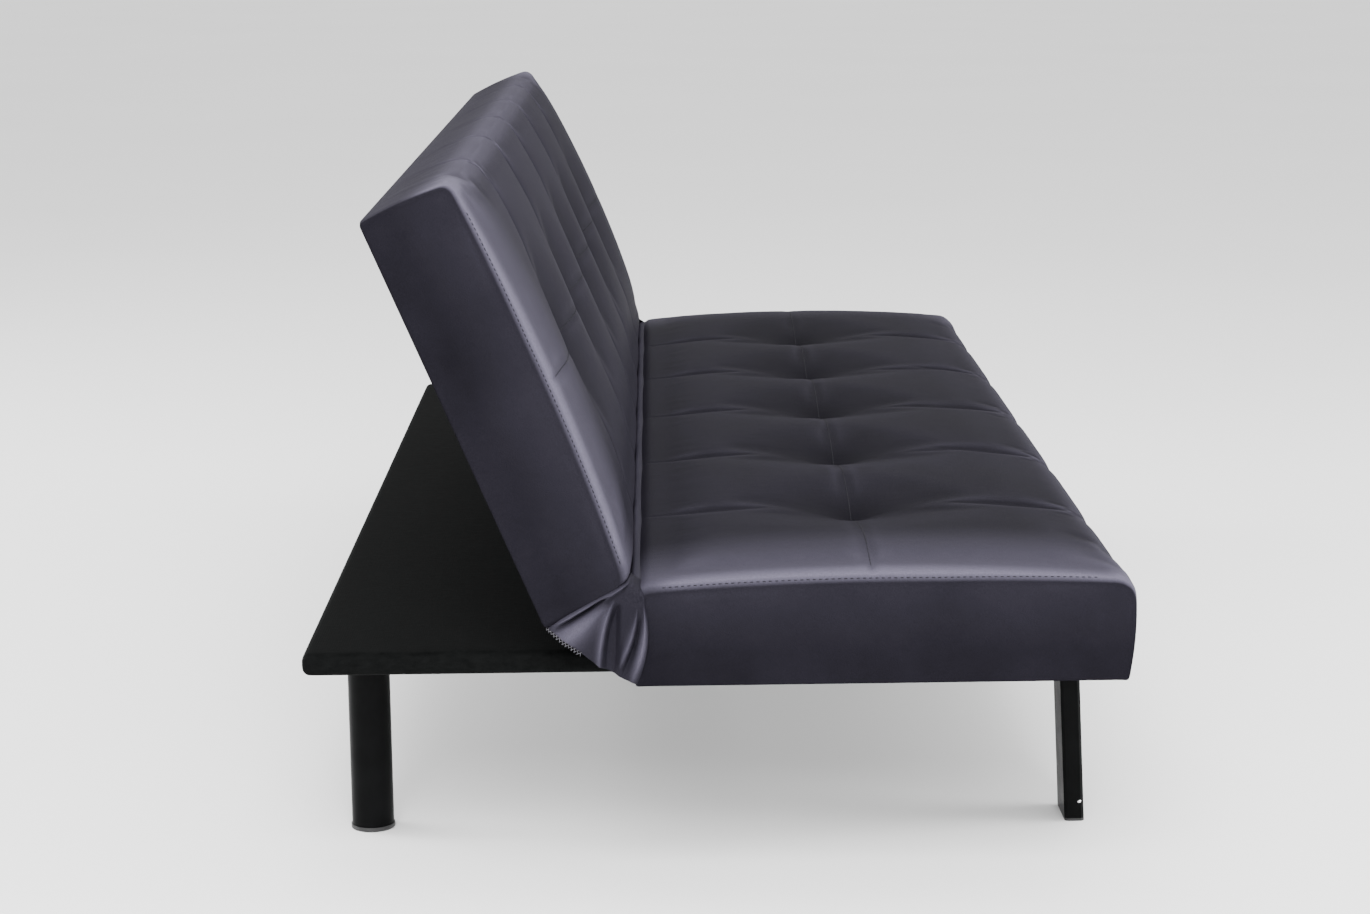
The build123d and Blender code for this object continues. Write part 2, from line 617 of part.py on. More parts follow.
pin_length = ARM_THICKNESS * 2 + 2 * FIT
with BuildPart() as hinge_pins:
    for _, side in sides:
        inner = side * (back_rail_face - FIT)
        add(rod((inner, pivot_y, pivot_z), (side, 0, 0), pin_length, PIN_RADIUS))
        add(shank((inner, pivot_y, pivot_z), (-side, 0, 0), HEAD_HEIGHT, PIN_HEAD_RADIUS, 2 * SHANK_SIDES))
        outer = side * (seat_rail_face + ARM_THICKNESS)
        add(shank((outer, pivot_y, pivot_z), (side, 0, 0), HEAD_HEIGHT, PIN_HEAD_RADIUS, 2 * SHANK_SIDES))
write(hinge_pins, "hinge_pins")

with BuildPart() as pawl_pins:
    for _, side in sides:
        foot = back_plane(side * back_rail_face).from_local_coords((*pawl_place, 0))
        add(rod(foot, (side, 0, 0), pin_length, PAWL_PIN))
        head = back_plane(side * (back_rail_face + pin_length)).from_local_coords((*pawl_place, 0))
        add(shank(head, (side, 0, 0), HEAD_HEIGHT / 2, PAWL_EYE * 0.7, 2 * SHANK_SIDES))
write(pawl_pins, "pawl_pins")

with BuildPart() as pawl_springs:
    for _, side in sides:
        with BuildSketch(back_plane(side * seat_arm_x)):
            with BuildLine():
                CenterArc(peg_place, SPRING_WIRE, 0, 360)
                CenterArc(spring_tip, SPRING_WIRE, 0, 360)
            make_hull()
        extrude(amount=ARM_THICKNESS / 2, both=True)
        foot = back_plane(side * back_rail_face).from_local_coords((*peg_place, 0))
        add(shank(foot, (side, 0, 0), ARM_THICKNESS * 2 + FIT, SPRING_PEG))
write(pawl_springs, "pawl_springs")

for name, plane_at, face in (("seat", seat_plane, seat_rail_face), ("back", back_plane, back_rail_face)):
    with BuildPart() as hinge_screws:
        for _, side in sides:
            for reach in screw_reaches:
                outer = plane_at(side * (face + ARM_THICKNESS)).from_local_coords((reach, ARM_LEVEL, 0))
                add(shank(outer, (-side, 0, 0), SCREW_LENGTH, SCREW_RADIUS))
                add(shank(outer, (side, 0, 0), HEAD_HEIGHT, SCREW_HEAD))
    write(hinge_screws, f"hinge_{name}_screws")

# Loose velvet in the fold
GUSSET_PLEAT = 4.0
GUSSET_CLOTH = 1.5
GUSSET_TOP = 0.16
PLEATS = 4
PLEAT_STEPS = 4

pinch = Vector(0, seat_rear_y, seat_top)
seat_foot = Vector(0, seat_rear_y + GUSSET_CLOTH, SEAT_UNDERSIDE)
back_foot = back_origin - back_up * GUSSET_CLOTH
chord = back_foot - seat_foot
gusset_inner = seat_rail_face + ARM_THICKNESS + HEAD_HEIGHT + 2 * FIT


def pleat_point(side, step, share):
    """A point of the pleated cloth, step pleats from the seat, a share of the way down from the pinch."""
    foot = seat_foot + chord * (step / (PLEATS * PLEAT_STEPS))
    swing = GUSSET_PLEAT / 2 * math.sin(math.pi * step / PLEAT_STEPS) * share
    out = Vector(side * (gusset_inner + GUSSET_PLEAT / 2 + swing), 0, 0)
    return pinch + (foot - pinch) * share + out


for side_name, side in sides:
    with BuildPart() as gusset:
        for step in range(PLEATS * PLEAT_STEPS):
            corners = [pleat_point(side, step + i, share)
                       for i, share in ((0, 1), (1, 1), (1, GUSSET_TOP), (0, GUSSET_TOP))]
            extrude(Face(Wire.make_polygon(corners)), amount=GUSSET_CLOTH, dir=(side, 0, 0))
    write(gusset, f"fold_gusset_{side_name}")

strip_half = seat_rail_face - 4 * RAIL_WIDTH / 5
with BuildPart() as fold_strip:
    with BuildSketch(Plane((0, 0, 0), x_dir=(0, 1, 0), z_dir=(1, 0, 0))):
        seat_lip = (seat_rear_y + GUSSET_CLOTH, seat_top - EDGE_ROUND)
        lip = back_origin + back_out * (BACK_THICKNESS - EDGE_ROUND) - back_up * GUSSET_CLOTH
        tuck = lip - back_out * EDGE_ROUND
        seat_tuck = (seat_lip[0], seat_lip[1] - EDGE_ROUND)
        with BuildLine() as loop:
            Line(seat_lip, seat_tuck)
            TangentArc(seat_tuck, (tuck.Y, tuck.Z), tangent=(0, -1))
            Line((tuck.Y, tuck.Z), (lip.Y, lip.Z))
        trace(line_width=GUSSET_CLOTH)
    extrude(amount=strip_half, both=True)
write(fold_strip, "fold_strip")
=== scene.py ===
# %% [markdown]
# # A velvet sofa bed that folds flat
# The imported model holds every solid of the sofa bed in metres, with its joints.
# Loading it first means that each piece made here can sit exactly where its
# solid sits, so nothing has to be fitted by eye.

# %% Load the frame
import json
import math
import bmesh
import bpy
from mathutils import Matrix, Vector, noise
from mathutils.bvhtree import BVHTree


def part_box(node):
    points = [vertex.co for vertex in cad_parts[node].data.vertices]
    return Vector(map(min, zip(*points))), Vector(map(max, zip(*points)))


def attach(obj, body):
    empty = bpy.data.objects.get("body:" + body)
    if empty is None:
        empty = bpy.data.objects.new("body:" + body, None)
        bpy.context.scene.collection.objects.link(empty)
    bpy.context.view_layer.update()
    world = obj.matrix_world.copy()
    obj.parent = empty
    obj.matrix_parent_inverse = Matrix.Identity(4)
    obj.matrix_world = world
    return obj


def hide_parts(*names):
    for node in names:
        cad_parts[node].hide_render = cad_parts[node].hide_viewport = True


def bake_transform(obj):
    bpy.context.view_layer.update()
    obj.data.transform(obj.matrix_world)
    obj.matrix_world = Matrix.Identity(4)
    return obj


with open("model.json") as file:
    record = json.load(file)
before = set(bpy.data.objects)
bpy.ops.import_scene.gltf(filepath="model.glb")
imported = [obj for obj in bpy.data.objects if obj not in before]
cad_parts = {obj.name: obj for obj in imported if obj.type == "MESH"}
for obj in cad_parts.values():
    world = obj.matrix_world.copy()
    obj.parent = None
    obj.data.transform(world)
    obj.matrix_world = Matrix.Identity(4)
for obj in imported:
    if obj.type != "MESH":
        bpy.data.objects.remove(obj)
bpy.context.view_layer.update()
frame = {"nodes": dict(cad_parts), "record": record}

# %% [markdown]
# The two upholstered blocks are described on their own axes: x along the sofa,
# u across the block away from the fold, w out of its sitting side. The seat lies
# flat and the back leans, so one matrix for each turns (x, u, w) into the room.

# %% Places of the seat and the back
seat_low, seat_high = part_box("seat_cover")
HALF = seat_high[0]
SEAT_DEPTH = seat_high[1] - seat_low[1]
SEAT_THICK = 0.105
BACK_HIGH = 0.422
BACK_THICK = 0.100
LEAN = math.radians(23)
rear_y, under_z = seat_high[1], seat_low[2]
top_z = under_z + SEAT_THICK
up = Vector((0, math.sin(LEAN), math.cos(LEAN)))
out = Vector((0, -math.cos(LEAN), math.sin(LEAN)))
crease = Vector((0, rear_y, top_z))
back_foot = crease - out * BACK_THICK


def axes(x_axis, u_axis, w_axis, origin):
    """The matrix that carries block coordinates into the room."""
    turn = Matrix((x_axis, u_axis, w_axis)).transposed().to_4x4()
    return Matrix.Translation(origin) @ turn


ALONG = Vector((1, 0, 0))
SEAT_AXES = axes(ALONG, Vector((0, -1, 0)), Vector((0, 0, 1)), Vector((0, rear_y, under_z)))
BACK_AXES = axes(ALONG, up, out, back_foot)
print("seat depth", round(SEAT_DEPTH, 4), "fold line", tuple(round(c, 4) for c in crease))

# %% [markdown]
# The photograph was taken from the left end, a little above the seat, with a
# long lens. The camera's place and turn come from matching straight edges of the
# sofa to the picture, and it is set with a matrix so that the slight roll of the
# picture is kept.

# %% Camera
PICTURE_WIDTH = 1370
LENS_PIXELS = 2922.7
YAW, PITCH, ROLL = 0.0092704, 0.18980, -0.0109
AWAY, BEFORE, ABOVE = 2.7371, 0.0235, 0.7528  # from the seat's lower rear corner at the near end
SENSOR = 36
FAR_CLIP = 2000


def aim(yaw, pitch, roll):
    """Right, up and forward of a camera that looks along +X, turned a little."""
    forward = Vector((math.cos(yaw) * math.cos(pitch), -math.sin(yaw) * math.cos(pitch),
                      -math.sin(pitch)))
    side = Vector((-math.sin(yaw), -math.cos(yaw), 0))
    rise = side.cross(forward)
    return (math.cos(roll) * side + math.sin(roll) * rise,
            math.cos(roll) * rise - math.sin(roll) * side, forward)


camera_data = bpy.data.cameras.new("camera")
camera = bpy.data.objects.new("camera", camera_data)
bpy.context.scene.collection.objects.link(camera)
side, rise, forward = aim(YAW, PITCH, ROLL)
eye = Vector((-HALF - AWAY, rear_y - BEFORE, under_z + ABOVE))
camera.matrix_world = axes(side, rise, -forward, eye)
camera_data.sensor_width = SENSOR
camera_data.lens = LENS_PIXELS / PICTURE_WIDTH * camera_data.sensor_width
camera_data.clip_end = FAR_CLIP
bpy.context.scene.camera = camera
print("lens", round(camera_data.lens, 1), "mm")

# %% [markdown]
# A mesh helper turns a bmesh into an object at the origin, because a CAD node's
# place is in its mesh too. Soft pieces get one subdivision, so a helper adds it. A
# class starts a material and adds nodes to it, so that each finish below only says
# what is special about it.

# %% Helpers for pieces and finishes


def piece(name, bm, finish=None, smooth=True):
    """A new object at the origin from a bmesh."""
    mesh = bpy.data.meshes.new(name)
    for face in bm.faces:
        face.smooth = smooth
    bm.to_mesh(mesh)
    bm.free()
    obj = bpy.data.objects.new(name, mesh)
    bpy.context.scene.collection.objects.link(obj)
    if finish:
        mesh.materials.append(finish)
    return obj


def subdivide(obj):
    """One subdivision, which smooths a soft piece."""
    finer = obj.modifiers.new("finer", "SUBSURF")
    finer.levels = finer.render_levels = 1


class Finish:
    """A procedural material: the Principled shader and short ways to add nodes."""

    def __init__(self, name, color, roughness, **sockets):
        self.material = bpy.data.materials.new(name)
        self.material.use_nodes = True
        self.nodes = self.material.node_tree.nodes
        self.links = self.material.node_tree.links
        self.shader = self.nodes["Principled BSDF"]
        self.place = self.nodes.new("ShaderNodeTexCoord").outputs["Object"]
        self.set("Base Color", (*color, 1))
        self.set("Roughness", roughness)
        for socket, value in sockets.items():
            self.set(socket.replace("_", " "), value)

    def set(self, socket, value):
        self.shader.inputs[socket].default_value = value

    def node(self, kind, inputs=None, **settings):
        new = self.nodes.new(kind)
        for name, value in settings.items():
            setattr(new, name, value)
        for name, value in (inputs or {}).items():
            if isinstance(value, bpy.types.NodeSocket):
                self.links.new(value, new.inputs[name])
            else:
                new.inputs[name].default_value = value
        return new

    def noise(self, scale, detail=3, stretch=(1, 1, 1), roughness=0.5):
        mapped = self.node("ShaderNodeMapping", {"Vector": self.place, "Scale": stretch})
        inputs = {"Vector": mapped.outputs[0], "Scale": scale, "Detail": detail, "Roughness": roughness}
        return self.node("ShaderNodeTexNoise", inputs).outputs[0]

    def ramp(self, factor, stops):
        ramp = self.node("ShaderNodeValToRGB", {"Fac": factor})
        elements = ramp.color_ramp.elements
        while len(elements) < len(stops):
            elements.new(0.5)
        for element, (place, color) in zip(elements, stops):
            element.position = place
            element.color = (*color, 1)
        return ramp.outputs[0]

    def mix(self, factor, first, second, mode="MIX"):
        return self.node("ShaderNodeMix", {0: factor, 6: first, 7: second},
                         data_type="RGBA", blend_type=mode).outputs[2]

    def color(self, socket):
        self.links.new(socket, self.shader.inputs["Base Color"])

    def roughness(self, factor, low, high):
        spread = self.node("ShaderNodeMapRange", {0: factor, 3: low, 4: high})
        self.links.new(spread.outputs[0], self.shader.inputs["Roughness"])

    def bump(self, height, distance, strength=1.0, under=None):
        inputs = {"Height": height, "Distance": distance, "Strength": strength}
        bump = self.node("ShaderNodeBump", inputs)
        if under:
            self.links.new(under, bump.inputs["Normal"])
        self.links.new(bump.outputs[0], self.shader.inputs["Normal"])
        return bump.outputs[0]


print("helpers ready")

# %% [markdown]
# Velvet is a cut pile of soft polyester threads. Seen from above the pile swallows
# light. The sheen that lightens every rolled edge is put into the colour as a painted
# highlight, and the shade at the tufts as painted shade; the pieces below carry both
# in two vertex attributes. Stroking leaves broad patches a little lighter or darker,
# drawn with slow noise, and fine noise gives the nap.

# %% Velvet
velvet = Finish("velvet", (0.014, 0.013, 0.0165), 0.55, Sheen_Weight=0.012, Sheen_Roughness=0.4,
                Sheen_Tint=(0.60, 0.54, 0.80, 1), Specular_IOR_Level=0.014)
brushed = velvet.noise(7.0, 4, (0.5, 1.0, 1.0), 0.6)
nap_and_sheen = velvet.noise(900, 2)
tone = velvet.ramp(brushed, [(0.32, (0.0053, 0.0048, 0.0069)), (0.7, (0.0086, 0.0078, 0.0111))])
# painted highlight: where this attribute says, the colour turns towards a much lighter tone, standing in for
# the sheen on rolled edges
painted_sheen = velvet.node("ShaderNodeAttribute", attribute_name="painted_sheen").outputs["Fac"]
painted_light = velvet.mix(painted_sheen, tone, (0.078, 0.072, 0.099, 1))
# painted shade: beside the tufts the colour is darkened towards a near-black tone
painted_tuft_shade = velvet.node("ShaderNodeAttribute", attribute_name="painted_tuft_shade").outputs["Fac"]
painted_light = velvet.mix(painted_tuft_shade, painted_light, (0.0022, 0.0020, 0.0028, 1))
speckle = velvet.ramp(nap_and_sheen, [(0.3, (0.82, 0.82, 0.82)), (0.7, (1.12, 1.12, 1.12))])
velvet.color(velvet.mix(1.0, painted_light, speckle, "MULTIPLY"))
velvet.roughness(brushed, 0.5, 0.64)
slubs = velvet.bump(velvet.noise(120, 3, (1, 0.35, 1)), 0.0006, 0.5)
velvet.bump(nap_and_sheen, 0.0005, 0.7, slubs)
print("velvet nodes", len(velvet.nodes))

# %% [markdown]
# The base and the undersides wear black non-woven cloth. It is pressed with a
# fine diamond of dots and has a faint sheen where it pulls over an edge.

# %% Black cloth
black_cloth = Finish("black_cloth", (0.003, 0.0033, 0.0033), 0.75, Specular_IOR_Level=0.015)
fibres = black_cloth.noise(160, 5, (1, 0.5, 1), 0.65)
black_cloth.color(black_cloth.ramp(fibres, [(0.3, (0.002, 0.0022, 0.0022)),
                                            (0.75, (0.0045, 0.0048, 0.0048))]))
black_cloth.roughness(fibres, 0.58, 0.82)
dots = black_cloth.node("ShaderNodeTexVoronoi", {"Vector": black_cloth.place, "Scale": 420.0,
                                                 "Randomness": 0.15})
pressed = black_cloth.bump(dots.outputs["Distance"], 0.0004, 0.5)
black_cloth.bump(fibres, 0.0005, 0.6, pressed)
print("black cloth nodes", len(black_cloth.nodes))

# %% [markdown]
# The carried-over solids get their own finishes: satin black powder coat with
# its orange peel, moulded plastic feet, zinc plate with its cloudy bloom, sawn
# softwood with drawn-out grain, and open foam. Constant values sit on the
# shader's own sockets so that the export keeps them.

# %% Finishes of the carried-over solids
powder = Finish("black_steel", (0.0025, 0.0026, 0.0028), 0.36, Specular_IOR_Level=0.035)
peel = powder.noise(900, 2)
powder.color(powder.ramp(powder.noise(30, 3), [(0.3, (0.002, 0.0021, 0.0022)),
                                               (0.7, (0.0032, 0.0034, 0.0036))]))
powder.roughness(powder.noise(45, 4), 0.28, 0.46)
powder.bump(peel, 0.0003, 0.35)

plastic = Finish("black_plastic", (0.012, 0.012, 0.0125), 0.5)
grain = plastic.noise(1400, 2)
plastic.color(plastic.ramp(plastic.noise(60, 3), [(0.35, (0.010, 0.010, 0.0105)),
                                                  (0.7, (0.016, 0.016, 0.0165))]))
plastic.roughness(grain, 0.42, 0.6)
plastic.bump(grain, 0.0002, 0.5)

zinc = Finish("plated_steel", (0.52, 0.52, 0.53), 0.38, Metallic=1.0)
bloom = zinc.noise(80, 4, (1, 1, 1), 0.6)
zinc.color(zinc.ramp(bloom, [(0.3, (0.42, 0.42, 0.43)), (0.7, (0.62, 0.62, 0.63))]))
zinc.roughness(bloom, 0.3, 0.5)
zinc.bump(zinc.noise(700, 2), 0.0001, 0.4)

rivet = Finish("bright_rivet", (0.75, 0.75, 0.76), 0.22, Metallic=1.0)
rivet.roughness(rivet.noise(900, 3), 0.16, 0.34)
rivet.color(rivet.ramp(rivet.noise(400, 2), [(0.3, (0.66, 0.66, 0.67)), (0.7, (0.82, 0.82, 0.83))]))

wood = Finish("frame_wood", (0.52, 0.36, 0.20), 0.65)
rings = wood.noise(34, 5, (0.06, 1, 1), 0.6)
wood.color(wood.ramp(rings, [(0.3, (0.60, 0.43, 0.25)), (0.55, (0.50, 0.34, 0.18)),
                             (0.75, (0.36, 0.22, 0.11))]))
wood.bump(rings, 0.0006, 0.5)

foam = Finish("foam", (0.80, 0.74, 0.55), 0.95)
cells = foam.noise(600, 3)
foam.color(foam.ramp(foam.noise(18, 3), [(0.3, (0.74, 0.67, 0.47)), (0.7, (0.84, 0.79, 0.61))]))
foam.bump(cells, 0.0008, 0.8)

webbing = Finish("webbing", (0.04, 0.04, 0.045), 0.75)
weave = {"Vector": webbing.place, "Scale": 260.0, "Distortion": 0.4}
ribs = webbing.node("ShaderNodeTexWave", weave, bands_direction="X").outputs[0]
webbing.color(webbing.ramp(ribs, [(0.2, (0.022, 0.022, 0.026)), (0.8, (0.060, 0.060, 0.066))]))
webbing.bump(ribs, 0.0004, 0.7)

twine = Finish("twine", (0.60, 0.55, 0.45), 0.85)
twist = {"Vector": twine.place, "Scale": 320.0, "Distortion": 1.0}
plies = twine.node("ShaderNodeTexWave", twist, bands_direction="DIAGONAL").outputs[0]
twine.color(twine.ramp(plies, [(0.2, (0.48, 0.43, 0.34)), (0.8, (0.68, 0.63, 0.52))]))
twine.bump(plies, 0.0004, 0.7)

finishes = {"velvet": velvet, "black_cloth": black_cloth, "foam": foam, "webbing": webbing,
            "twine": twine, "frame_wood": wood, "black_steel": powder, "black_plastic": plastic,
            "bright_rivet": rivet, "plated_steel": zinc}
for part in frame["record"]["subparts"]:
    mesh = frame["nodes"][part["node"]].data
    mesh.materials.clear()
    mesh.materials.append(finishes[part["material_slot"]].material)
print("finishes", sorted(finishes))

# %% [markdown]
# Both upholstered blocks start as one cube that is cut into a grid. The cuts are
# closer along the sewn channels and the edges, where the cloth bends most. An
# even subdivision followed by re-spacing keeps every face a clean quad, which
# the cloth simulation and the subdivision need.

# %% Grid blocks


def spaced(stops, counts, crowd):
    """Places between stops, each stretch in equal counts drawn towards its ends."""
    places = [stops[0]]
    for start, end, count in zip(stops, stops[1:], counts):
        for i in range(1, count + 1):
            t = i / count
            drawn = crowd * math.sin(2 * math.pi * t) / (2 * math.pi)
            places.append(start + (end - start) * (t - drawn))
    return places


def grid_block(places):
    """A cube cut into a grid whose lines lie at the given places on each axis."""
    bm = bmesh.new()
    bmesh.ops.create_cube(bm, size=1)
    bmesh.ops.translate(bm, verts=bm.verts, vec=(0.5, 0.5, 0.5))
    for axis in range(3):
        along = [e for e in bm.edges if abs((e.verts[0].co - e.verts[1].co)[axis]) > 0.5]
        bmesh.ops.subdivide_edges(bm, edges=along, cuts=len(places[axis]) - 2, use_grid_fill=True)
    for vert in bm.verts:
        vert.co = [line[round(c * (len(line) - 1))] for line, c in zip(places, vert.co)]
    return bm


PANELS = 6
PANEL = 2 * HALF / PANELS
CELLS = 28
CROWD = 0.55
panel_edges = [PANEL * i - HALF for i in range(PANELS + 1)]
channel_lines = panel_edges[1:-1]
along_sofa = spaced(panel_edges, [CELLS] * PANELS, CROWD)
print("grid lines along the sofa", len(along_sofa))

# %% [markdown]
# The pad's form before stuffing: the long edges are rounded, the cloth rolls up
# from the end seams, each panel is crowned, and the channels, the lengthwise
# seam and the blind-stitched tufts pull it down. It is written as one function
# of a point, so that the seat and the back share it and differ in their sizes.

# %% Form of a tufted pad
SEAM_DROP, END_DROP = 0.009, 0.004
END_ROLL, END_DOME = 0.017, 0.13
TOP_BAND = 0.034
FAR_BAND = 0.03
CHANNEL_PULL, TUFT_ROW_PULL, TUFT_ROW = 0.0012, 0.0085, 0.06
CREASE_WIDE, VALLEY_WIDE, TUFT_WIDE = 0.008, 0.05, 0.031
SEAM_DIP, SEAM_WIDE = 0.0007, 0.005
SCALLOP_WIDE = 0.03
END_CREASE, RIM_DIP, RIM_WIDE = 0.0012, 0.0026, 0.003
RAIL_WRAP = 0.0018
ON_EDGE = 1e-6


def rounded(across, high, radius):
    """A point of a square corner, moved onto a round one. Both are distances from the edges."""
    if across >= radius or high >= radius:
        return across, high
    a, b = 1 - across / radius, 1 - high / radius
    return (radius - radius * a * math.sqrt(1 - b * b / 2),
            radius - radius * b * math.sqrt(1 - a * a / 2))


def share(value, start, end):
    """How far a value is between two others, from 0 to 1."""
    return max(0.0, min(1.0, (value - start) / (end - start)))


def fade(distance, width, power=2):
    """1 at no distance, falling smoothly to 0 well past a width."""
    return math.exp(-(distance / width) ** power)


def pad_form(point, pad):
    """Where a point of the plain block goes on the tufted pad."""
    x, u, w = point
    depth, thick, tuft = pad["depth"], pad["thick"], pad["tuft"]
    end = HALF - abs(x)
    # round the two long edges, the far one more in the middle than at its ends
    far_round = pad["end_round"] + (pad["far_round"] - pad["end_round"]) * share(end, 0, 0.12)
    far, high = rounded(depth - u, thick - w, far_round)
    near, high = rounded(depth - far, high, pad["fold_round"])
    u, w = near, thick - high
    # crown the panels, and pull down the channels, the lengthwise seam and the tufts
    topness = share(w, thick - TOP_BAND, thick)
    topness *= topness * (3 - 2 * topness)
    roll = 1 - math.sqrt(1 - share(end, END_ROLL, 0) ** 2)
    dome = share(end, END_DOME, 0) ** 2
    across = math.sin(math.pi * share(u, 0, depth)) ** 0.72
    panel = (x + HALF) / PANEL % 1
    swell = math.sin(math.pi * panel) ** 1.7
    if end < PANEL / 2:
        swell = 1.0
    from_channel = min(abs(x - line) for line in channel_lines)
    from_seam = abs(u - tuft)
    near_tuft = fade(from_seam, TUFT_ROW, 1.6)
    pull = CHANNEL_PULL + TUFT_ROW_PULL * near_tuft
    crisp = 0.04 + 0.14 * near_tuft
    soft = (1 - crisp) * fade(from_channel, VALLEY_WIDE)
    valley = pull * (crisp * fade(from_channel, CREASE_WIDE, 1) + soft)
    seam = SEAM_DIP * fade(from_seam, SEAM_WIDE) * (1 - roll)
    tuft_pull = pad["tuft_pull"] * fade(math.hypot(0.8 * from_channel, from_seam), TUFT_WIDE, 1.15)
    crown = pad["crown"] * across * (0.78 + 0.22 * swell) * (1 - 0.2 * roll)
    w += topness * (crown - valley - seam - tuft_pull)
    # let the top roll down to the end seams
    at_seam = SEAM_DROP * roll * (1 - 0.5 * share(u, 0.6 * depth, depth))
    w -= (at_seam + END_DROP * dome) * share(w, 0, thick) ** 2
    # belly the far side out, with a scallop at each channel, and keep the fold side clear of its rail
    draw = share(w, 0, thick)
    scallop = pad["scallop"] * (fade(from_channel, SCALLOP_WIDE) - 0.6)
    scallop *= share(draw, 0.55, 0.9) * share(end, 0, 0.05)
    belly = pad["belly"] * math.sin(math.pi * draw) - pad["draw_in"] * (1 - draw) ** 2
    u += share(u, depth - FAR_BAND, depth) * (belly - scallop - 0.0025 * roll)
    if point[1] < ON_EDGE:
        u -= (RAIL_WRAP + pad["hem"] * (1 - draw)) * share(thick - 0.03 - w, 0, 0.01)
    # swell and crease the end panels a little, and sink them at their seam
    if end < ON_EDGE:
        flat = math.sin(math.pi * share(u, 0, depth)) * math.sin(math.pi * draw)
        rim = min(thick - point[2], point[1], depth - point[1])
        creased = END_CREASE * flat * noise.noise(Vector((u * 9 + w * 14, w * 22 - u * 5, x)))
        x += math.copysign(pad["end_belly"] * flat + creased - RIM_DIP * fade(rim, RIM_WIDE, 1), x)
    return Vector((x, u, w))


# tuft is where the row of tufts lies across a pad, and hem is how far its lower edge hangs out.
# Two keys put an even painted highlight into the colour: one over the whole sitting side, one along the far
# edge.
BOTH = {"fold_round": 0.014, "tuft_pull": 0.0105, "belly": 0.003, "end_belly": 0.002}
seat_pad = {**BOTH, "depth": SEAT_DEPTH, "thick": SEAT_THICK, "tuft": 0.228, "crown": 0.0125,
            "far_round": 0.030, "end_round": 0.018, "scallop": 0.0035, "draw_in": 0.004, "hem": 0.0,
            "nap_and_sheen": 0.0, "crest_sheen": 0.0, "foam": "seat_foam"}
back_pad = {**BOTH, "depth": BACK_HIGH, "thick": BACK_THICK, "tuft": BACK_HIGH / 2, "crown": 0.013,
            "far_round": 0.022, "end_round": 0.009, "scallop": 0.002, "draw_in": 0.0, "hem": 0.005,
            "nap_and_sheen": 0.07, "crest_sheen": 0.11, "foam": "back_foam"}
print("seat panel", round(PANEL, 3), "crown", seat_pad["crown"])

# %% [markdown]
# Stuffing is simulated: the closed pad is a cloth with pressure inside and no
# gravity. The movement is capped, because a real pad is held by its foam. Two more
# steps follow it: a painted highlight goes into the colour where the cloth curves
# outward, with painted shade at the tufts, and the cloth is lifted wherever the
# thread pulled it into the foam block.

# %% Stuff a pad with cloth simulation
FRAMES = 20
CAP = 0.007


def stuff(obj, pins, pressure):
    """Inflates a pad that is held by its pins, and keeps the result in its mesh."""
    group = obj.vertex_groups.new(name="sewn")
    for index, weight in pins.items():
        group.add([index], weight, "REPLACE")
    cloth = obj.modifiers.new("stuffing", "CLOTH")
    settings = cloth.settings
    settings.quality = 5
    settings.mass = 0.2
    settings.tension_stiffness = 20
    settings.compression_stiffness = 20
    settings.shear_stiffness = 10
    settings.bending_stiffness = 4
    settings.shrink_min = -0.004
    settings.use_pressure = True
    settings.uniform_pressure_force = pressure
    settings.vertex_group_mass = "sewn"
    settings.effector_weights.gravity = 0
    cloth.collision_settings.use_collision = False
    cloth.point_cache.frame_end = FRAMES
    for step in range(1, FRAMES + 1):
        bpy.context.scene.frame_set(step)
    stuffed = obj.evaluated_get(bpy.context.evaluated_depsgraph_get()).data
    furthest = 0.0
    moved = [v.co.copy() for v in stuffed.vertices]
    obj.modifiers.remove(cloth)
    for vert, place in zip(obj.data.vertices, moved):
        step = place - vert.co
        furthest = max(furthest, step.length)
        vert.co += step * min(1.0, CAP / max(step.length, 1e-9))
    bpy.context.scene.frame_set(1)
    obj.vertex_groups.clear()
    return furthest


def paint_sheen_and_shade(obj, limit, lit):
    """Writes a painted highlight where the surface curves outward, and painted shade near the tufts.
    lit gives, for a place, the share of the curve's painted highlight that shows, an even painted highlight
    and the painted shade."""
    bm = bmesh.new()
    bm.from_mesh(obj.data)
    bm.normal_update()
    curve, around = [], []
    for vert in bm.verts:
        bends = [(vert.co - e.other_vert(vert).co).dot(vert.normal) / e.calc_length() ** 2
                 for e in vert.link_edges]
        curve.append(2 * sum(bends) / len(bends))
        around.append([e.other_vert(vert).index for e in vert.link_edges])
    for _ in range(2):
        curve = [(own + sum(curve[i] for i in near) / len(near)) / 2 for own, near in zip(curve, around)]
    shades = [lit(v.co) for v in bm.verts]
    bm.free()
    painted_light = [min(1.0, s[1] + s[0] * share(c, 0, limit) ** 1.2) for c, s in zip(curve, shades)]
    tuft_shade = [s[2] for s in shades]
    for attribute, values in (("painted_sheen", painted_light), ("painted_tuft_shade", tuft_shade)):
        obj.data.attributes.new(attribute, "FLOAT", "POINT").data.foreach_set("value", values)


def keep_over(obj, node, room_axes, cloth):
    """Lifts a pad's cloth off the foam block inside it, where the thread pulled it too deep."""
    inward = room_axes.inverted()
    corners = [inward @ v.co for v in frame["nodes"][node].data.vertices]
    low = [min(c[i] for c in corners) - cloth for i in range(3)]
    high = [max(c[i] for c in corners) + cloth for i in range(3)]
    lifted = 0
    for vert in obj.data.vertices:
        place = inward @ vert.co
        depths = [(place[i] - low[i], i, low[i]) for i in range(3)]
        depths += [(high[i] - place[i], i, high[i]) for i in range(3)]
        depth, axis, level = min(depths)
        if depth > 0:
            place[axis] = level
            vert.co = room_axes @ place
            lifted += 1
    return lifted


print("stuffing ready,", FRAMES, "frames")

# %% [markdown]
# The underside, the end seams and the tufts are sewn, so they are pinned. The far
# edge and the rolled ends are held less firmly, and the channels only beside a
# tuft, so the panels swell between the tufts and pucker where the thread pulls.
# Each finished pad then says which solid it replaces and which body it rides on.

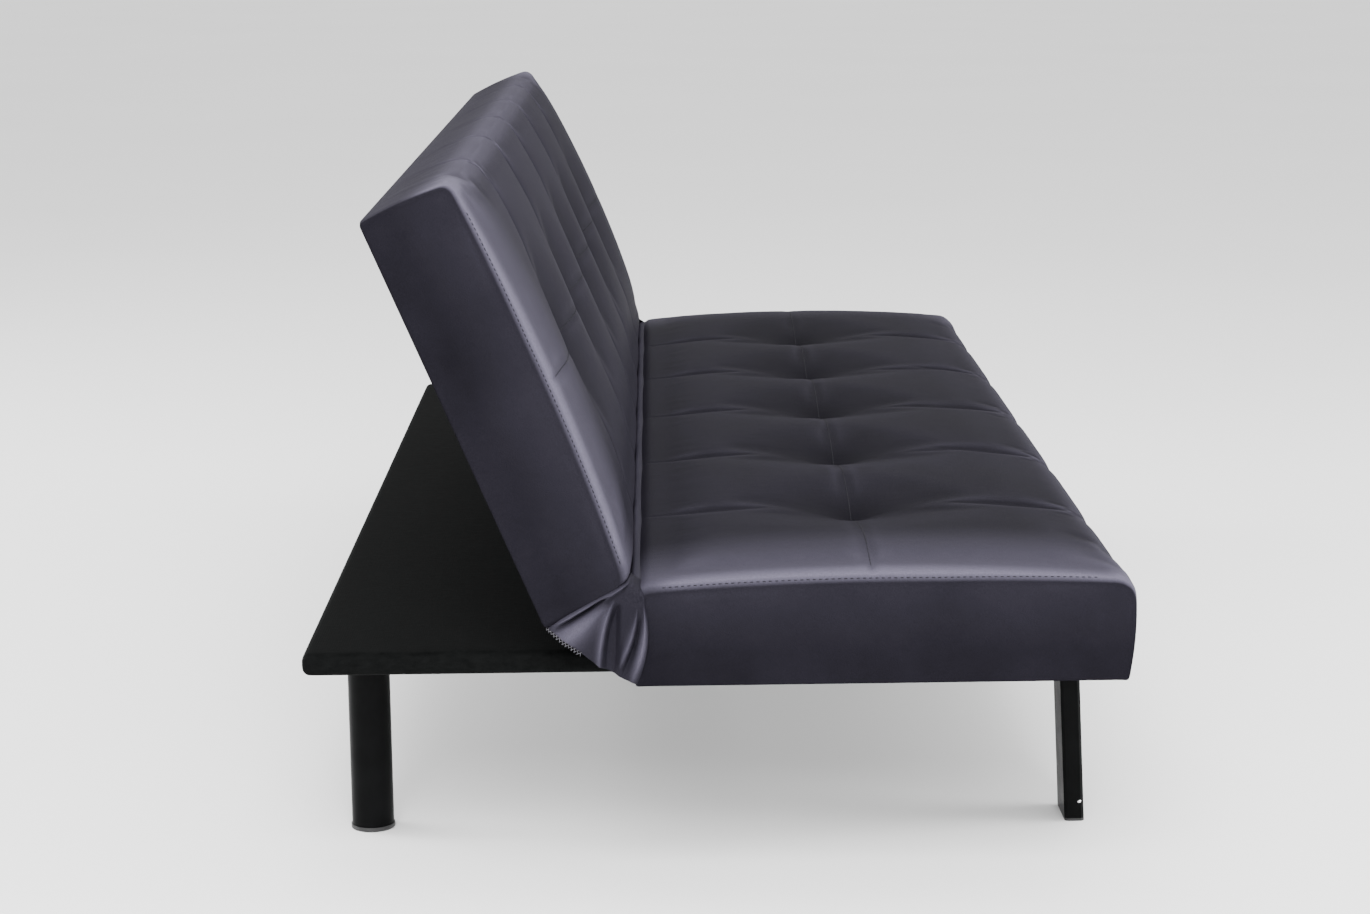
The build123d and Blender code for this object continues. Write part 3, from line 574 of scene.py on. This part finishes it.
# %% Seat and back pads
UNDER_GAP, TOP_SEAM = 0.0012, 0.0016
ACROSS_CELLS, HEIGHT_CELLS = 22, 11
SEAM_SHARP = 0.9
PIN_UNDER, PIN_END, PIN_FOLD = 0.02, 0.03, 0.035
HELD_END, HELD_FAR = 0.8, 0.3
HELD_TUFT, HELD_TUFT_WIDE = 0.98, 0.02
HELD_CHANNEL, HELD_CHANNEL_WIDE = 0.02, 0.12
FOAM_COVER = 0.0035
# the curve at which the painted highlight on a rolled edge is full, the even painted highlights, and the
# painted shade at the tufts
FULL_BEND = 60
END_GLOW, END_GLOW_REACH, END_FACE_GLOW = 0.5, 0.16, 0.08
SHADE, SHADE_ALONG, SHADE_ACROSS = 0.6, 0.05, 0.085
PRESSURE = 1.6


def pin(place, pad):
    """How firmly a place of the plain block is sewn down, or None where it is free."""
    x, u, w = place
    end = HALF - abs(x)
    rim = end < ON_EDGE and (w > pad["thick"] - ON_EDGE or u < ON_EDGE or u > pad["depth"] - ON_EDGE)
    if w < PIN_UNDER or u < ON_EDGE or rim:
        return 1.0
    if w > pad["thick"] - ON_EDGE and min(abs(x - line) for line in channel_lines) < ON_EDGE:
        from_tuft = abs(u - pad["tuft"])
        return HELD_CHANNEL * fade(from_tuft, HELD_CHANNEL_WIDE) + HELD_TUFT * fade(from_tuft, HELD_TUFT_WIDE)
    if end < PIN_END or u < PIN_FOLD:
        return HELD_END
    return HELD_FAR if u > pad["depth"] - FAR_BAND else None


def make_pad(name, pad, room_axes, pressure):
    """A tufted velvet pad: cut grid, form, stuffing, one subdivision."""
    across = spaced([0, pad["tuft"], pad["depth"]], [ACROSS_CELLS] * 2, 0.5)
    heights = spaced([UNDER_GAP, pad["thick"]], [HEIGHT_CELLS], 0.35)
    heights.insert(-1, pad["thick"] - TOP_SEAM)
    bm = grid_block([along_sofa, across, heights])
    bm.verts.index_update()
    sharp = bm.edges.layers.float.new("crease_edge")
    sides = ((2, heights[0]), (2, pad["thick"]), (1, 0.0), (1, pad["depth"]))
    for edge in bm.edges:
        ends = [v.co for v in edge.verts]
        on_rim = any(all(abs(c[axis] - level) < ON_EDGE for c in ends) for axis, level in sides)
        if on_rim and all(HALF - abs(c.x) < ON_EDGE for c in ends):
            edge[sharp] = SEAM_SHARP
    held = {vert.index: pin(vert.co, pad) for vert in bm.verts}
    pins = {index: weight for index, weight in held.items() if weight is not None}
    for vert in bm.verts:
        vert.co = pad_form(vert.co, pad)
    bm.transform(room_axes)
    bm.normal_update()
    bmesh.ops.recalc_face_normals(bm, faces=bm.faces)
    obj = piece(name, bm, velvet.material)
    grown = stuff(obj, pins, pressure)
    lifted = keep_over(obj, pad["foam"], room_axes, FOAM_COVER)
    inward = room_axes.inverted()

    def lit(place):
        """The share of the curve's painted highlight that shows, the even painted highlight and the painted
        shade at the tufts.
        """
        x, u, w = inward @ place
        end = HALF - abs(x)
        off_end = share(end, 0.0, 0.004)
        top = share(w, 0.5 * pad["thick"], 0.8 * pad["thick"]) * off_end
        # even painted highlight: the sitting side lighter towards the ends and all over, and the far edge
        # lighter
        even = top * (END_GLOW * share(end, END_GLOW_REACH, 0.0) ** 1.4 + pad["nap_and_sheen"])
        even += pad["crest_sheen"] * off_end * share(u, pad["depth"] - FAR_BAND, pad["depth"] - 0.004)
        # the end panels are painted lighter towards their top
        even += END_FACE_GLOW * (1 - off_end) * share(w, 0.3 * pad["thick"], pad["thick"])
        # painted shade around each tuft, where the painted highlight is held back too
        off_row = (u - pad["tuft"]) / SHADE_ACROSS
        tuft_shade = fade(min(math.hypot((x - line) / SHADE_ALONG, off_row) for line in channel_lines), 1)
        return top * share(u, 0.015, 0.06) * (1 - SHADE * tuft_shade), even, SHADE * top * tuft_shade

    paint_sheen_and_shade(obj, FULL_BEND, lit)
    subdivide(obj)
    print(name, "vertices", len(obj.data.vertices), "swell", round(grown * 1000, 1), "mm")
    print("lifted off the foam", lifted)
    return obj


seat = make_pad("seat_pad", seat_pad, SEAT_AXES, PRESSURE)
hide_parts("seat_cover")
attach(seat, "seat_base")
back = make_pad("back_pad", back_pad, BACK_AXES, PRESSURE)
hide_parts("back_cover")
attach(back, "backrest")
print("pads", seat.name, back.name)

# %% [markdown]
# The seams show as short dashes of dark thread. Each dash is dropped onto the
# finished pad along a line of the seam, so it lies on the cloth wherever the
# stuffing left it.

# %% Stitches
thread = Finish("thread", (0.004, 0.0038, 0.005), 0.6, Specular_IOR_Level=0.1)
thread.color(thread.ramp(thread.noise(500, 2), [(0.3, (0.006, 0.006, 0.008)),
                                                (0.7, (0.012, 0.011, 0.015))]))
STITCH, STITCH_STEP = 0.0028, 0.0042
STITCH_WIDE, STITCH_HIGH, STITCH_LIFT = 0.0008, 0.0005, 0.0001
DROP_FROM, DROP_REACH = 0.05, 0.1
SEAM_START = 0.02
SEAM_ABOVE = 0.0038
RIM_STEPS = 40


def walk(corners, step):
    """Points a step apart along a line of corners."""
    for first, last in zip(corners, corners[1:]):
        count = int((last - first).length / step)
        for i in range(count):
            yield first.lerp(last, (i + 0.5) / count), (last - first).normalized()


def sew(name, obj, room_axes, lines, body):
    """Small thread dashes laid on a pad's finished surface along lines in pad axes."""
    finished = BVHTree.FromObject(obj, bpy.context.evaluated_depsgraph_get())
    bm = bmesh.new()
    for corners, toward in lines:
        for place, run in walk(corners, STITCH_STEP):
            start = room_axes @ (place - toward * DROP_FROM)
            aim_at = (room_axes.to_3x3() @ toward).normalized()
            spot, normal, _, _ = finished.ray_cast(start, aim_at, DROP_REACH)
            if spot is None:
                continue
            along = room_axes.to_3x3() @ run
            across = normal.cross(along).normalized()
            along = across.cross(normal)
            spot += normal * STITCH_LIFT
            turn = axes(along * STITCH, across * STITCH_WIDE, normal * STITCH_HIGH, spot)
            bmesh.ops.create_cube(bm, size=1, matrix=turn)
    bmesh.ops.recalc_face_normals(bm, faces=bm.faces)
    obj = piece(name, bm, thread.material)
    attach(obj, body)
    return obj


def seam_lines(pad):
    """The stitched lines of a pad: along its middle, and along the top of each end panel."""
    middle = [Vector((x, pad["tuft"], pad["thick"])) for x in (SEAM_START - HALF, HALF - SEAM_START)]
    lines = [(middle, Vector((0, 0, -1)))]
    for sign in (-1, 1):
        rim = [pad_form((sign * HALF, pad["depth"] * i / RIM_STEPS, pad["thick"]), pad)
               for i in range(2, RIM_STEPS - 2)]
        lines.append(([p + Vector((0, 0, SEAM_ABOVE)) for p in rim], Vector((-sign, 0, 0))))
    return lines


for sewn in (sew("seat_stitches", seat, SEAT_AXES, seam_lines(seat_pad), "seat_base"),
             sew("back_stitches", back, BACK_AXES, seam_lines(back_pad), "backrest")):
    print(sewn.name, len(sewn.data.vertices) // 8, "stitches")

# %% [markdown]
# The rear base is a flat board in a cloth wrap. Its edges are round because the
# cloth pulls over them, and the top shows long shallow wrinkles. The same grid
# block is used, with every corner pushed onto a rounded box.

# %% Rear base
base_low, base_high = (Vector(c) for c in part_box("base_cover"))
BASE_ROUND = 0.009
BASE_CELLS = (90, 30, 2)
WRINKLE, WRINKLE_BAND = 0.00042, 0.004


def wrapped(place, low, high, radius):
    """A point of a box moved onto a box with rounded edges."""
    core = Vector([max(a + radius, min(b - radius, c)) for a, b, c in zip(low, high, place)])
    step = place - core
    return core + step.normalized() * radius if step.length > 1e-9 else place.copy()


def edged(low, high, radius, count):
    """Grid lines with a few in the rounded edge at each end."""
    rim = [0, radius * 0.3, radius * 0.65, radius]
    middle = [low + radius + (high - low - 2 * radius) * i / count for i in range(1, count)]
    return [low + r for r in rim] + middle + [high - r for r in reversed(rim)]


bm = grid_block([edged(low, high, BASE_ROUND, cells)
                 for low, high, cells in zip(base_low, base_high, BASE_CELLS)])
for vert in bm.verts:
    vert.co = wrapped(vert.co, base_low, base_high, BASE_ROUND)
    if vert.co.z > base_high.z - WRINKLE_BAND:
        ripple = noise.noise(Vector((vert.co.x * 3.0, vert.co.y * 14.0, 0.3)))
        ripple += 0.5 * noise.noise(Vector((vert.co.x * 9.0, vert.co.y * 30.0, 4.1)))
        vert.co.z -= WRINKLE * (1 + ripple)
base = piece("base_wrap", bm, black_cloth.material)
subdivide(base)
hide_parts("base_cover")
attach(base, "seat_base")
print("base wrap", len(base.data.vertices), "vertices")

# %% [markdown]
# Thin black cloth closes the underside of the seat and the rear of the back. It
# is stretched and stapled, so it only sags a little between its edges. The seat's
# cloth is cut out where the base goes into the seat.

# %% Underside cloths
CLOTH_MARGIN = 0.004
CLOTH_THICK = 0.0005
CLOTH_CELLS = (120, 32)
BASE_ROOM, BASE_DEPTH = 0.006, 0.134


def cloth_sheet(name, width, depth, room_axes, level, sag, cut=None):
    """A stretched sheet on a block's underside, with a shallow sag, less a cut-out."""
    bm = bmesh.new()
    bmesh.ops.create_grid(bm, x_segments=CLOTH_CELLS[0], y_segments=CLOTH_CELLS[1], size=0.5)
    for vert in bm.verts:
        a, b = vert.co.x + 0.5, vert.co.y + 0.5
        belly = math.sin(math.pi * a) ** 0.5 * math.sin(math.pi * b) ** 0.6
        ripple = noise.noise(Vector((a * 40, b * 5, 2.0))) * 0.35
        ripple += noise.noise(Vector((a * 7, b * 16, 7.0))) * 0.3
        vert.co = (width * (a - 0.5), CLOTH_MARGIN + (depth - 2 * CLOTH_MARGIN) * b,
                   level - sag * belly * (1 + ripple))
    if cut:
        middles = [(f, f.calc_center_median()) for f in bm.faces]
        inside = [f for f, place in middles if abs(place.x) < cut[0] and place.y < cut[1]]
        bmesh.ops.delete(bm, geom=inside, context="FACES")
    area = sum(f.calc_area() for f in bm.faces)
    bm.transform(room_axes)
    obj = piece(name, bm, black_cloth.material)
    obj.modifiers.new("cloth", "SOLIDIFY").thickness = CLOTH_THICK
    return obj, area


seat_under, area = cloth_sheet("seat_underside_cloth", 2 * HALF - 0.012, SEAT_DEPTH - 0.006, SEAT_AXES,
                               0.0007, 0.0025, (base_high.x + BASE_ROOM, BASE_DEPTH))
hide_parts("seat_dust_cover")
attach(seat_under, "seat_base")
back_under, area = cloth_sheet("back_rear_cloth", 2 * HALF - 0.012, BACK_HIGH - 0.002, BACK_AXES,
                               0.0008, 0.0005)
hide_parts("back_dust_cover")
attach(back_under, "backrest")
print("cloths", seat_under.name, back_under.name)

# %% [markdown]
# A pocket of velvet joins the two blocks along the fold. When the back is up it
# hangs down between them in a narrow loop, and when the bed is flat it opens. The
# strip is a grid that is bent into that loop.

# %% Pocket in the fold
strip_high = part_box("fold_strip")[1]
# forward of the fold line and above it, in millimetres, from the seat's lip round to the back's lip
POCKET = ((7.0, -4.2), (2.6, -3.6), (-1.8, -4.4), (-4.0, -7.2), (-6.6, -13.5), (-10, -22), (-14, -29),
          (-20, -33), (-22.5, -27), (-15.6, -17.5), (-9.4, -11), (-6.4, -6.2), (-5.6, -1.5), (-5.6, 3.0),
          (-7.5, 7.0))
POCKET_CELLS = (150, 30)
POCKET_RIPPLE = 0.0012


def fold_profile(t):
    """A point of the pocket from its seat edge (0) to its back edge (1), in the fold's section."""
    place = t * (len(POCKET) - 1)
    first = min(int(place), len(POCKET) - 2)
    step = Vector(POCKET[first]).lerp(Vector(POCKET[first + 1]), place - first) / 1000
    return crease + Vector((0, -step.x, step.y))


bm = bmesh.new()
bmesh.ops.create_grid(bm, x_segments=POCKET_CELLS[0], y_segments=POCKET_CELLS[1], size=0.5)
for vert in bm.verts:
    a, t = vert.co.x * 2, vert.co.y + 0.5
    spot = fold_profile(t)
    ripple = noise.noise(Vector((a * 22, t * 3, 1.0))) * POCKET_RIPPLE * math.sin(math.pi * t)
    vert.co = (a * strip_high[0], spot.y + ripple, spot.z + ripple)
strip_area = sum(f.calc_area() for f in bm.faces)
strip = piece("fold_pocket", bm, velvet.material)
# painted highlight where the pocket curves outward, and a little all over
paint_sheen_and_shade(strip, FULL_BEND, lambda place: (0.3, 0.06, 0.0))
subdivide(strip)
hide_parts("fold_strip")
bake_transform(strip)
print("pocket area", round(strip_area, 4), "m2")

# %% [markdown]
# At each end a loose gusset of the same velvet closes the fold. It is gathered
# into a pinch at the top, where a flap turns in over the pocket's end, and hangs in
# soft lens-shaped pleats. Each pleat is a ridge or a hollow at one angle about the
# pinch, added to a fan of cloth that is cut from a plain grid. Its cut edge is
# overlocked, and that thread shows beside the back.

# %% Fold gussets
GUSSET_OUT, GUSSET_THICK = 0.003, 0.0008
GUSSET_CELLS = (84, 52)
PINCH = 0.13
FLAP, FLAP_IN = 0.06, 0.030
PIN_ROOM = 0.0018
# how much painted highlight the pleats get: least in the hollows, which stay darker as painted shade, and
# full on a raised pleat
PLEAT_DARK, PLEAT_LIGHT, PLEAT_FULL = 0.07, 0.55, 0.009
HEM_SAG = 0.010
SEAT_BOW = 0.007
pin_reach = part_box("hinge_pins")[1][0]
# of each pleat: its middle on the fan at the pinch, how far that drifts along the cloth, its width,
# where it starts and ends along the cloth, and how far it stands out, less than 0 for a hollow
PLEATS = ((0.07, 0, 0.055, 0.06, 1.04, 0.010), (0.175, 0, 0.025, 0.25, 1.05, -0.004),
          (0.25, 0, 0.045, 0.15, 0.98, 0.006), (0.74, -0.44, 0.075, 0.22, 1.3, -0.013),
          (0.865, -0.44, 0.05, 0.2, 1.15, 0.008), (0.80, 0, 0.12, 0.3, 1.35, 0.009),
          (0.915, 0, 0.025, 0.2, 1.0, -0.006), (0.97, 0, 0.03, 0.12, 0.95, 0.006))


def gusset_fold(angle, reach):
    """How far the gusset stands out at a share of its fan (0 seat, 1 back) and of its length."""
    stands = 0.0
    for middle, drift, width, start, end, height in PLEATS:
        along = math.sin(math.pi * share(reach, start, end)) ** 0.7
        off = angle - (middle + drift * min(1.0, reach))
        stands += height * along * fade(off, width * (0.4 + 0.6 * along))
    return stands


fuzz = Finish("overlock_thread", (0.06, 0.058, 0.066), 0.75, Specular_IOR_Level=0.1)
fuzz.color(fuzz.ramp(fuzz.noise(700, 2), [(0.3, (0.035, 0.034, 0.040)), (0.7, (0.085, 0.083, 0.092))]))
FUZZ_STEP, FUZZ_LONG, FUZZ_LOOSE, FUZZ_WIDE = 0.0016, 0.0045, 0.0025, 0.0006
FUZZ_RISE, FUZZ_LIFT = 0.0012, 0.0007


def overlock(name, edge, sign):
    """Zigzag thread over the gusset's cut edge, where it shows beside the back."""
    bm = bmesh.new()
    normal = Vector((sign, 0, 0))
    for i, (place, run) in enumerate(walk(edge, FUZZ_STEP)):
        rise = run.cross(normal) * sign
        loose = noise.noise(place * 900)
        lean = (run * 0.7 + rise * (1 if i % 2 else -1) + normal * 0.3 * loose).normalized()
        across = normal.cross(lean).normalized()
        spot = place + rise * FUZZ_RISE + normal * FUZZ_LIFT
        turn = axes(lean * (FUZZ_LONG + FUZZ_LOOSE * loose), across * FUZZ_WIDE,
                    lean.cross(across) * FUZZ_WIDE, spot)
        bmesh.ops.create_cube(bm, size=1, matrix=turn)
    bmesh.ops.recalc_face_normals(bm, faces=bm.faces)
    obj = piece(name, bm, fuzz.material)
    return obj


def make_gusset(name, node, sign):
    """A gathered fan of velvet between the end edges of the seat and the back."""
    bm = bmesh.new()
    bmesh.ops.create_grid(bm, x_segments=GUSSET_CELLS[0], y_segments=GUSSET_CELLS[1], size=0.5)
    seat_top = Vector((0, rear_y - 0.009, top_z - 0.006))
    back_top = crease + up * 0.004 - out * 0.003
    seat_foot = Vector((0, rear_y - 0.001, under_z + 0.003))
    back_end = back_foot - up * back_pad["hem"] + out * 0.003
    lights, edge = [], []
    for vert in bm.verts:
        a, reach = vert.co.x + 0.5, 0.5 - vert.co.y
        left = seat_top.lerp(seat_foot, reach)
        left -= Vector((0, SEAT_BOW * math.sin(math.pi * share(reach, 0.1, 1)), 0))
        right = back_top.lerp(back_end, reach)
        spot = left.lerp(right, a)
        spot.z -= HEM_SAG * reach ** 3 * math.sin(math.pi * a) ** 1.5 * (1 - a)
        below = share(reach, PINCH, 1)
        fold = gusset_fold(a, below) * min(1.0, 8 * below)
        fold += 0.006 * fade(a - 0.93, 0.05) * math.sin(math.pi * share(reach, 0, 0.4))
        fold += 0.0018 * noise.noise(Vector((a * 9, reach * 30, sign))) * share(reach, 0.35, 0.0)
        # painted highlight on raised pleats; hollows keep the least of it and stay darker, as painted shade
        lights.append(PLEAT_DARK + PLEAT_LIGHT * share(fold, 0.0, PLEAT_FULL))
        tuck = fade(1 - a, 0.03) * 0.004 + fade(a, 0.015) * 0.0022 + 0.003 * fade(reach, 0.04, 1)
        stand = max(pin_reach + PIN_ROOM, HALF + GUSSET_OUT + fold - tuck)
        stand -= FLAP_IN * share(reach, FLAP, 0)
        vert.co = (sign * stand, spot.y, spot.z)
        if reach > 0.999 and a > 0.6:
            edge.append((a, vert.co.copy()))
    bm.normal_update()
    bmesh.ops.recalc_face_normals(bm, faces=bm.faces)
    bm.faces.ensure_lookup_table()
    if bm.faces[0].normal.x * sign < 0:
        bmesh.ops.reverse_faces(bm, faces=bm.faces)
    area = sum(f.calc_area() for f in bm.faces)
    obj = piece(name, bm, velvet.material)
    obj.data.attributes.new("painted_sheen", "FLOAT", "POINT").data.foreach_set("value", lights)
    thick = obj.modifiers.new("cloth", "SOLIDIFY")
    thick.thickness = GUSSET_THICK
    thick.offset = -1
    subdivide(obj)
    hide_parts(node)
    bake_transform(obj)
    edge = [place for a, place in sorted(edge, key=lambda row: row[0])]
    hem = overlock(f"{name}_overlock", edge[::4], sign)
    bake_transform(hem)
    return obj, area


for name, sign in (("left", -1), ("right", 1)):
    gusset, area = make_gusset(f"gusset_{name}", f"fold_gusset_{name}", sign)
    print(gusset.name, "cloth", round(area * 1e4, 1), "cm2")

# %% [markdown]
# Each pawl is pressed into its notch by a flat spring that is held on a peg. The
# spring bends as the pawl swings, so a solid that rides on one body would cut
# through the pawl. Here it is a long cube with bevelled edges and cuts across it,
# and a round peg at its foot.

# %% Pawl springs
SPRING_THICK, SPRING_WIDE, SPRING_EDGE, SPRING_PLAY = 0.0011, 0.0030, 0.00025, 0.0001
SPRING_CUTS = 12
PEG_RADIUS, PEG_SIDES = 0.00125, 20
slots = {part["node"]: part["material_slot"] for part in frame["record"]["subparts"]}
spring_slot = slots["pawl_springs"]


def pawl_spring(name, sign):
    """A flat spring from its peg on the back arm to the side of the pawl."""
    solid = [v.co for v in frame["nodes"]["pawl_springs"].data.vertices if v.co.x * sign > 0]
    inner, outer = min(abs(c.x) for c in solid), max(abs(c.x) for c in solid)
    foot = [c for c in solid if abs(c.x) < inner + 1e-4]
    peg = sum(foot, Vector()) / len(foot)
    tip = max(solid, key=lambda c: (c.yz - peg.yz).length)
    run = Vector((0, tip.y - peg.y, tip.z - peg.z))
    length = run.length - SPRING_THICK / 2
    run.normalize()
    middle = Vector((sign * (outer - SPRING_WIDE / 2), peg.y, peg.z))
    bm = bmesh.new()
    bmesh.ops.create_cube(bm, size=1)
    long_edges = [e for e in bm.edges if abs((e.verts[0].co - e.verts[1].co).z) > 0.5]
    bmesh.ops.subdivide_edges(bm, edges=long_edges, cuts=SPRING_CUTS)
    bmesh.ops.scale(bm, vec=(SPRING_WIDE - SPRING_PLAY, SPRING_THICK, length), verts=bm.verts)
    bmesh.ops.bevel(bm, geom=bm.edges[:], offset=SPRING_EDGE, segments=2, affect="EDGES", profile=0.5,
                    material=-1)
    bm.transform(axes(ALONG, run.cross(ALONG), run, middle + run * length / 2))
    rod = bmesh.ops.create_cone(bm, cap_ends=True, segments=PEG_SIDES, radius1=PEG_RADIUS,
                                radius2=PEG_RADIUS, depth=outer - inner)
    at_peg = Matrix.Translation((sign * (inner + outer) / 2, peg.y, peg.z))
    bmesh.ops.transform(bm, matrix=at_peg @ Matrix.Rotation(math.pi / 2, 4, "Y"), verts=rod["verts"])
    bmesh.ops.recalc_face_normals(bm, faces=bm.faces)
    obj = piece(name, bm, finishes[spring_slot].material, smooth=False)
    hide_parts("pawl_springs")
    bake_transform(obj)
    return obj, length


for name, sign in (("left", -1), ("right", 1)):
    spring, length = pawl_spring(f"pawl_spring_{name}", sign)
    print(spring.name, round(length * 1000, 1), "mm long")

# %% [markdown]
# A product photograph has a white floor and light from all round. The strongest
# lamp stands behind the camera, and weaker ones in front of the sofa, behind it and
# overhead.

# %% Floor and light
FLOOR_REACH = 400
SKY = ((0.1, 0.35), (0.5, 1.0), (1.0, 0.7))
SKY_STRENGTH = 1.8
floor_finish = Finish("floor", (0.92, 0.92, 0.92), 0.9)
clouding = floor_finish.noise(0.8, 2)
floor_finish.color(floor_finish.ramp(clouding, [(0.3, (0.91, 0.91, 0.91)), (0.7, (0.93, 0.93, 0.93))]))
bm = bmesh.new()
bmesh.ops.create_grid(bm, x_segments=8, y_segments=8, size=FLOOR_REACH)
floor = piece("floor", bm, floor_finish.material)
world = bpy.data.worlds.new("studio")
bpy.context.scene.world = world
world.use_nodes = True
sky = world.node_tree.nodes
height = sky.new("ShaderNodeSeparateXYZ")
spread = sky.new("ShaderNodeValToRGB")
spread.color_ramp.elements.new(0.5)
for stop, (level, gray) in zip(spread.color_ramp.elements, SKY):
    stop.position, stop.color = level, (gray, gray, gray, 1)
world.node_tree.links.new(sky.new("ShaderNodeTexCoord").outputs["Generated"], height.inputs[0])
world.node_tree.links.new(height.outputs["Z"], spread.inputs[0])
world.node_tree.links.new(spread.outputs[0], sky["Background"].inputs["Color"])
sky["Background"].inputs["Strength"].default_value = SKY_STRENGTH


def soft_lamp(name, place, target, size, watts):
    """A square area lamp that faces a target."""
    data = bpy.data.lights.new(name, "AREA")
    data.size = size
    data.energy = watts
    lamp = bpy.data.objects.new(name, data)
    bpy.context.scene.collection.objects.link(lamp)
    lamp.location = place
    lamp.rotation_euler = (Vector(target) - Vector(place)).to_track_quat("-Z", "Y").to_euler()
    return lamp


soft_lamp("overhead", (-0.6, -0.3, 3.0), (-0.3, -0.1, 0.3), 2.0, 40)
soft_lamp("front", (-0.6, -3.8, 1.5), (-0.4, 0, 0.35), 1.8, 150)
soft_lamp("rear", (0.9, 3.8, 1.7), (0, 0.3, 0.4), 2.2, 190)
soft_lamp("near_end", (-4.0, 0.2, 2.9), (-0.6, 0, 0.3), 2.4, 420)
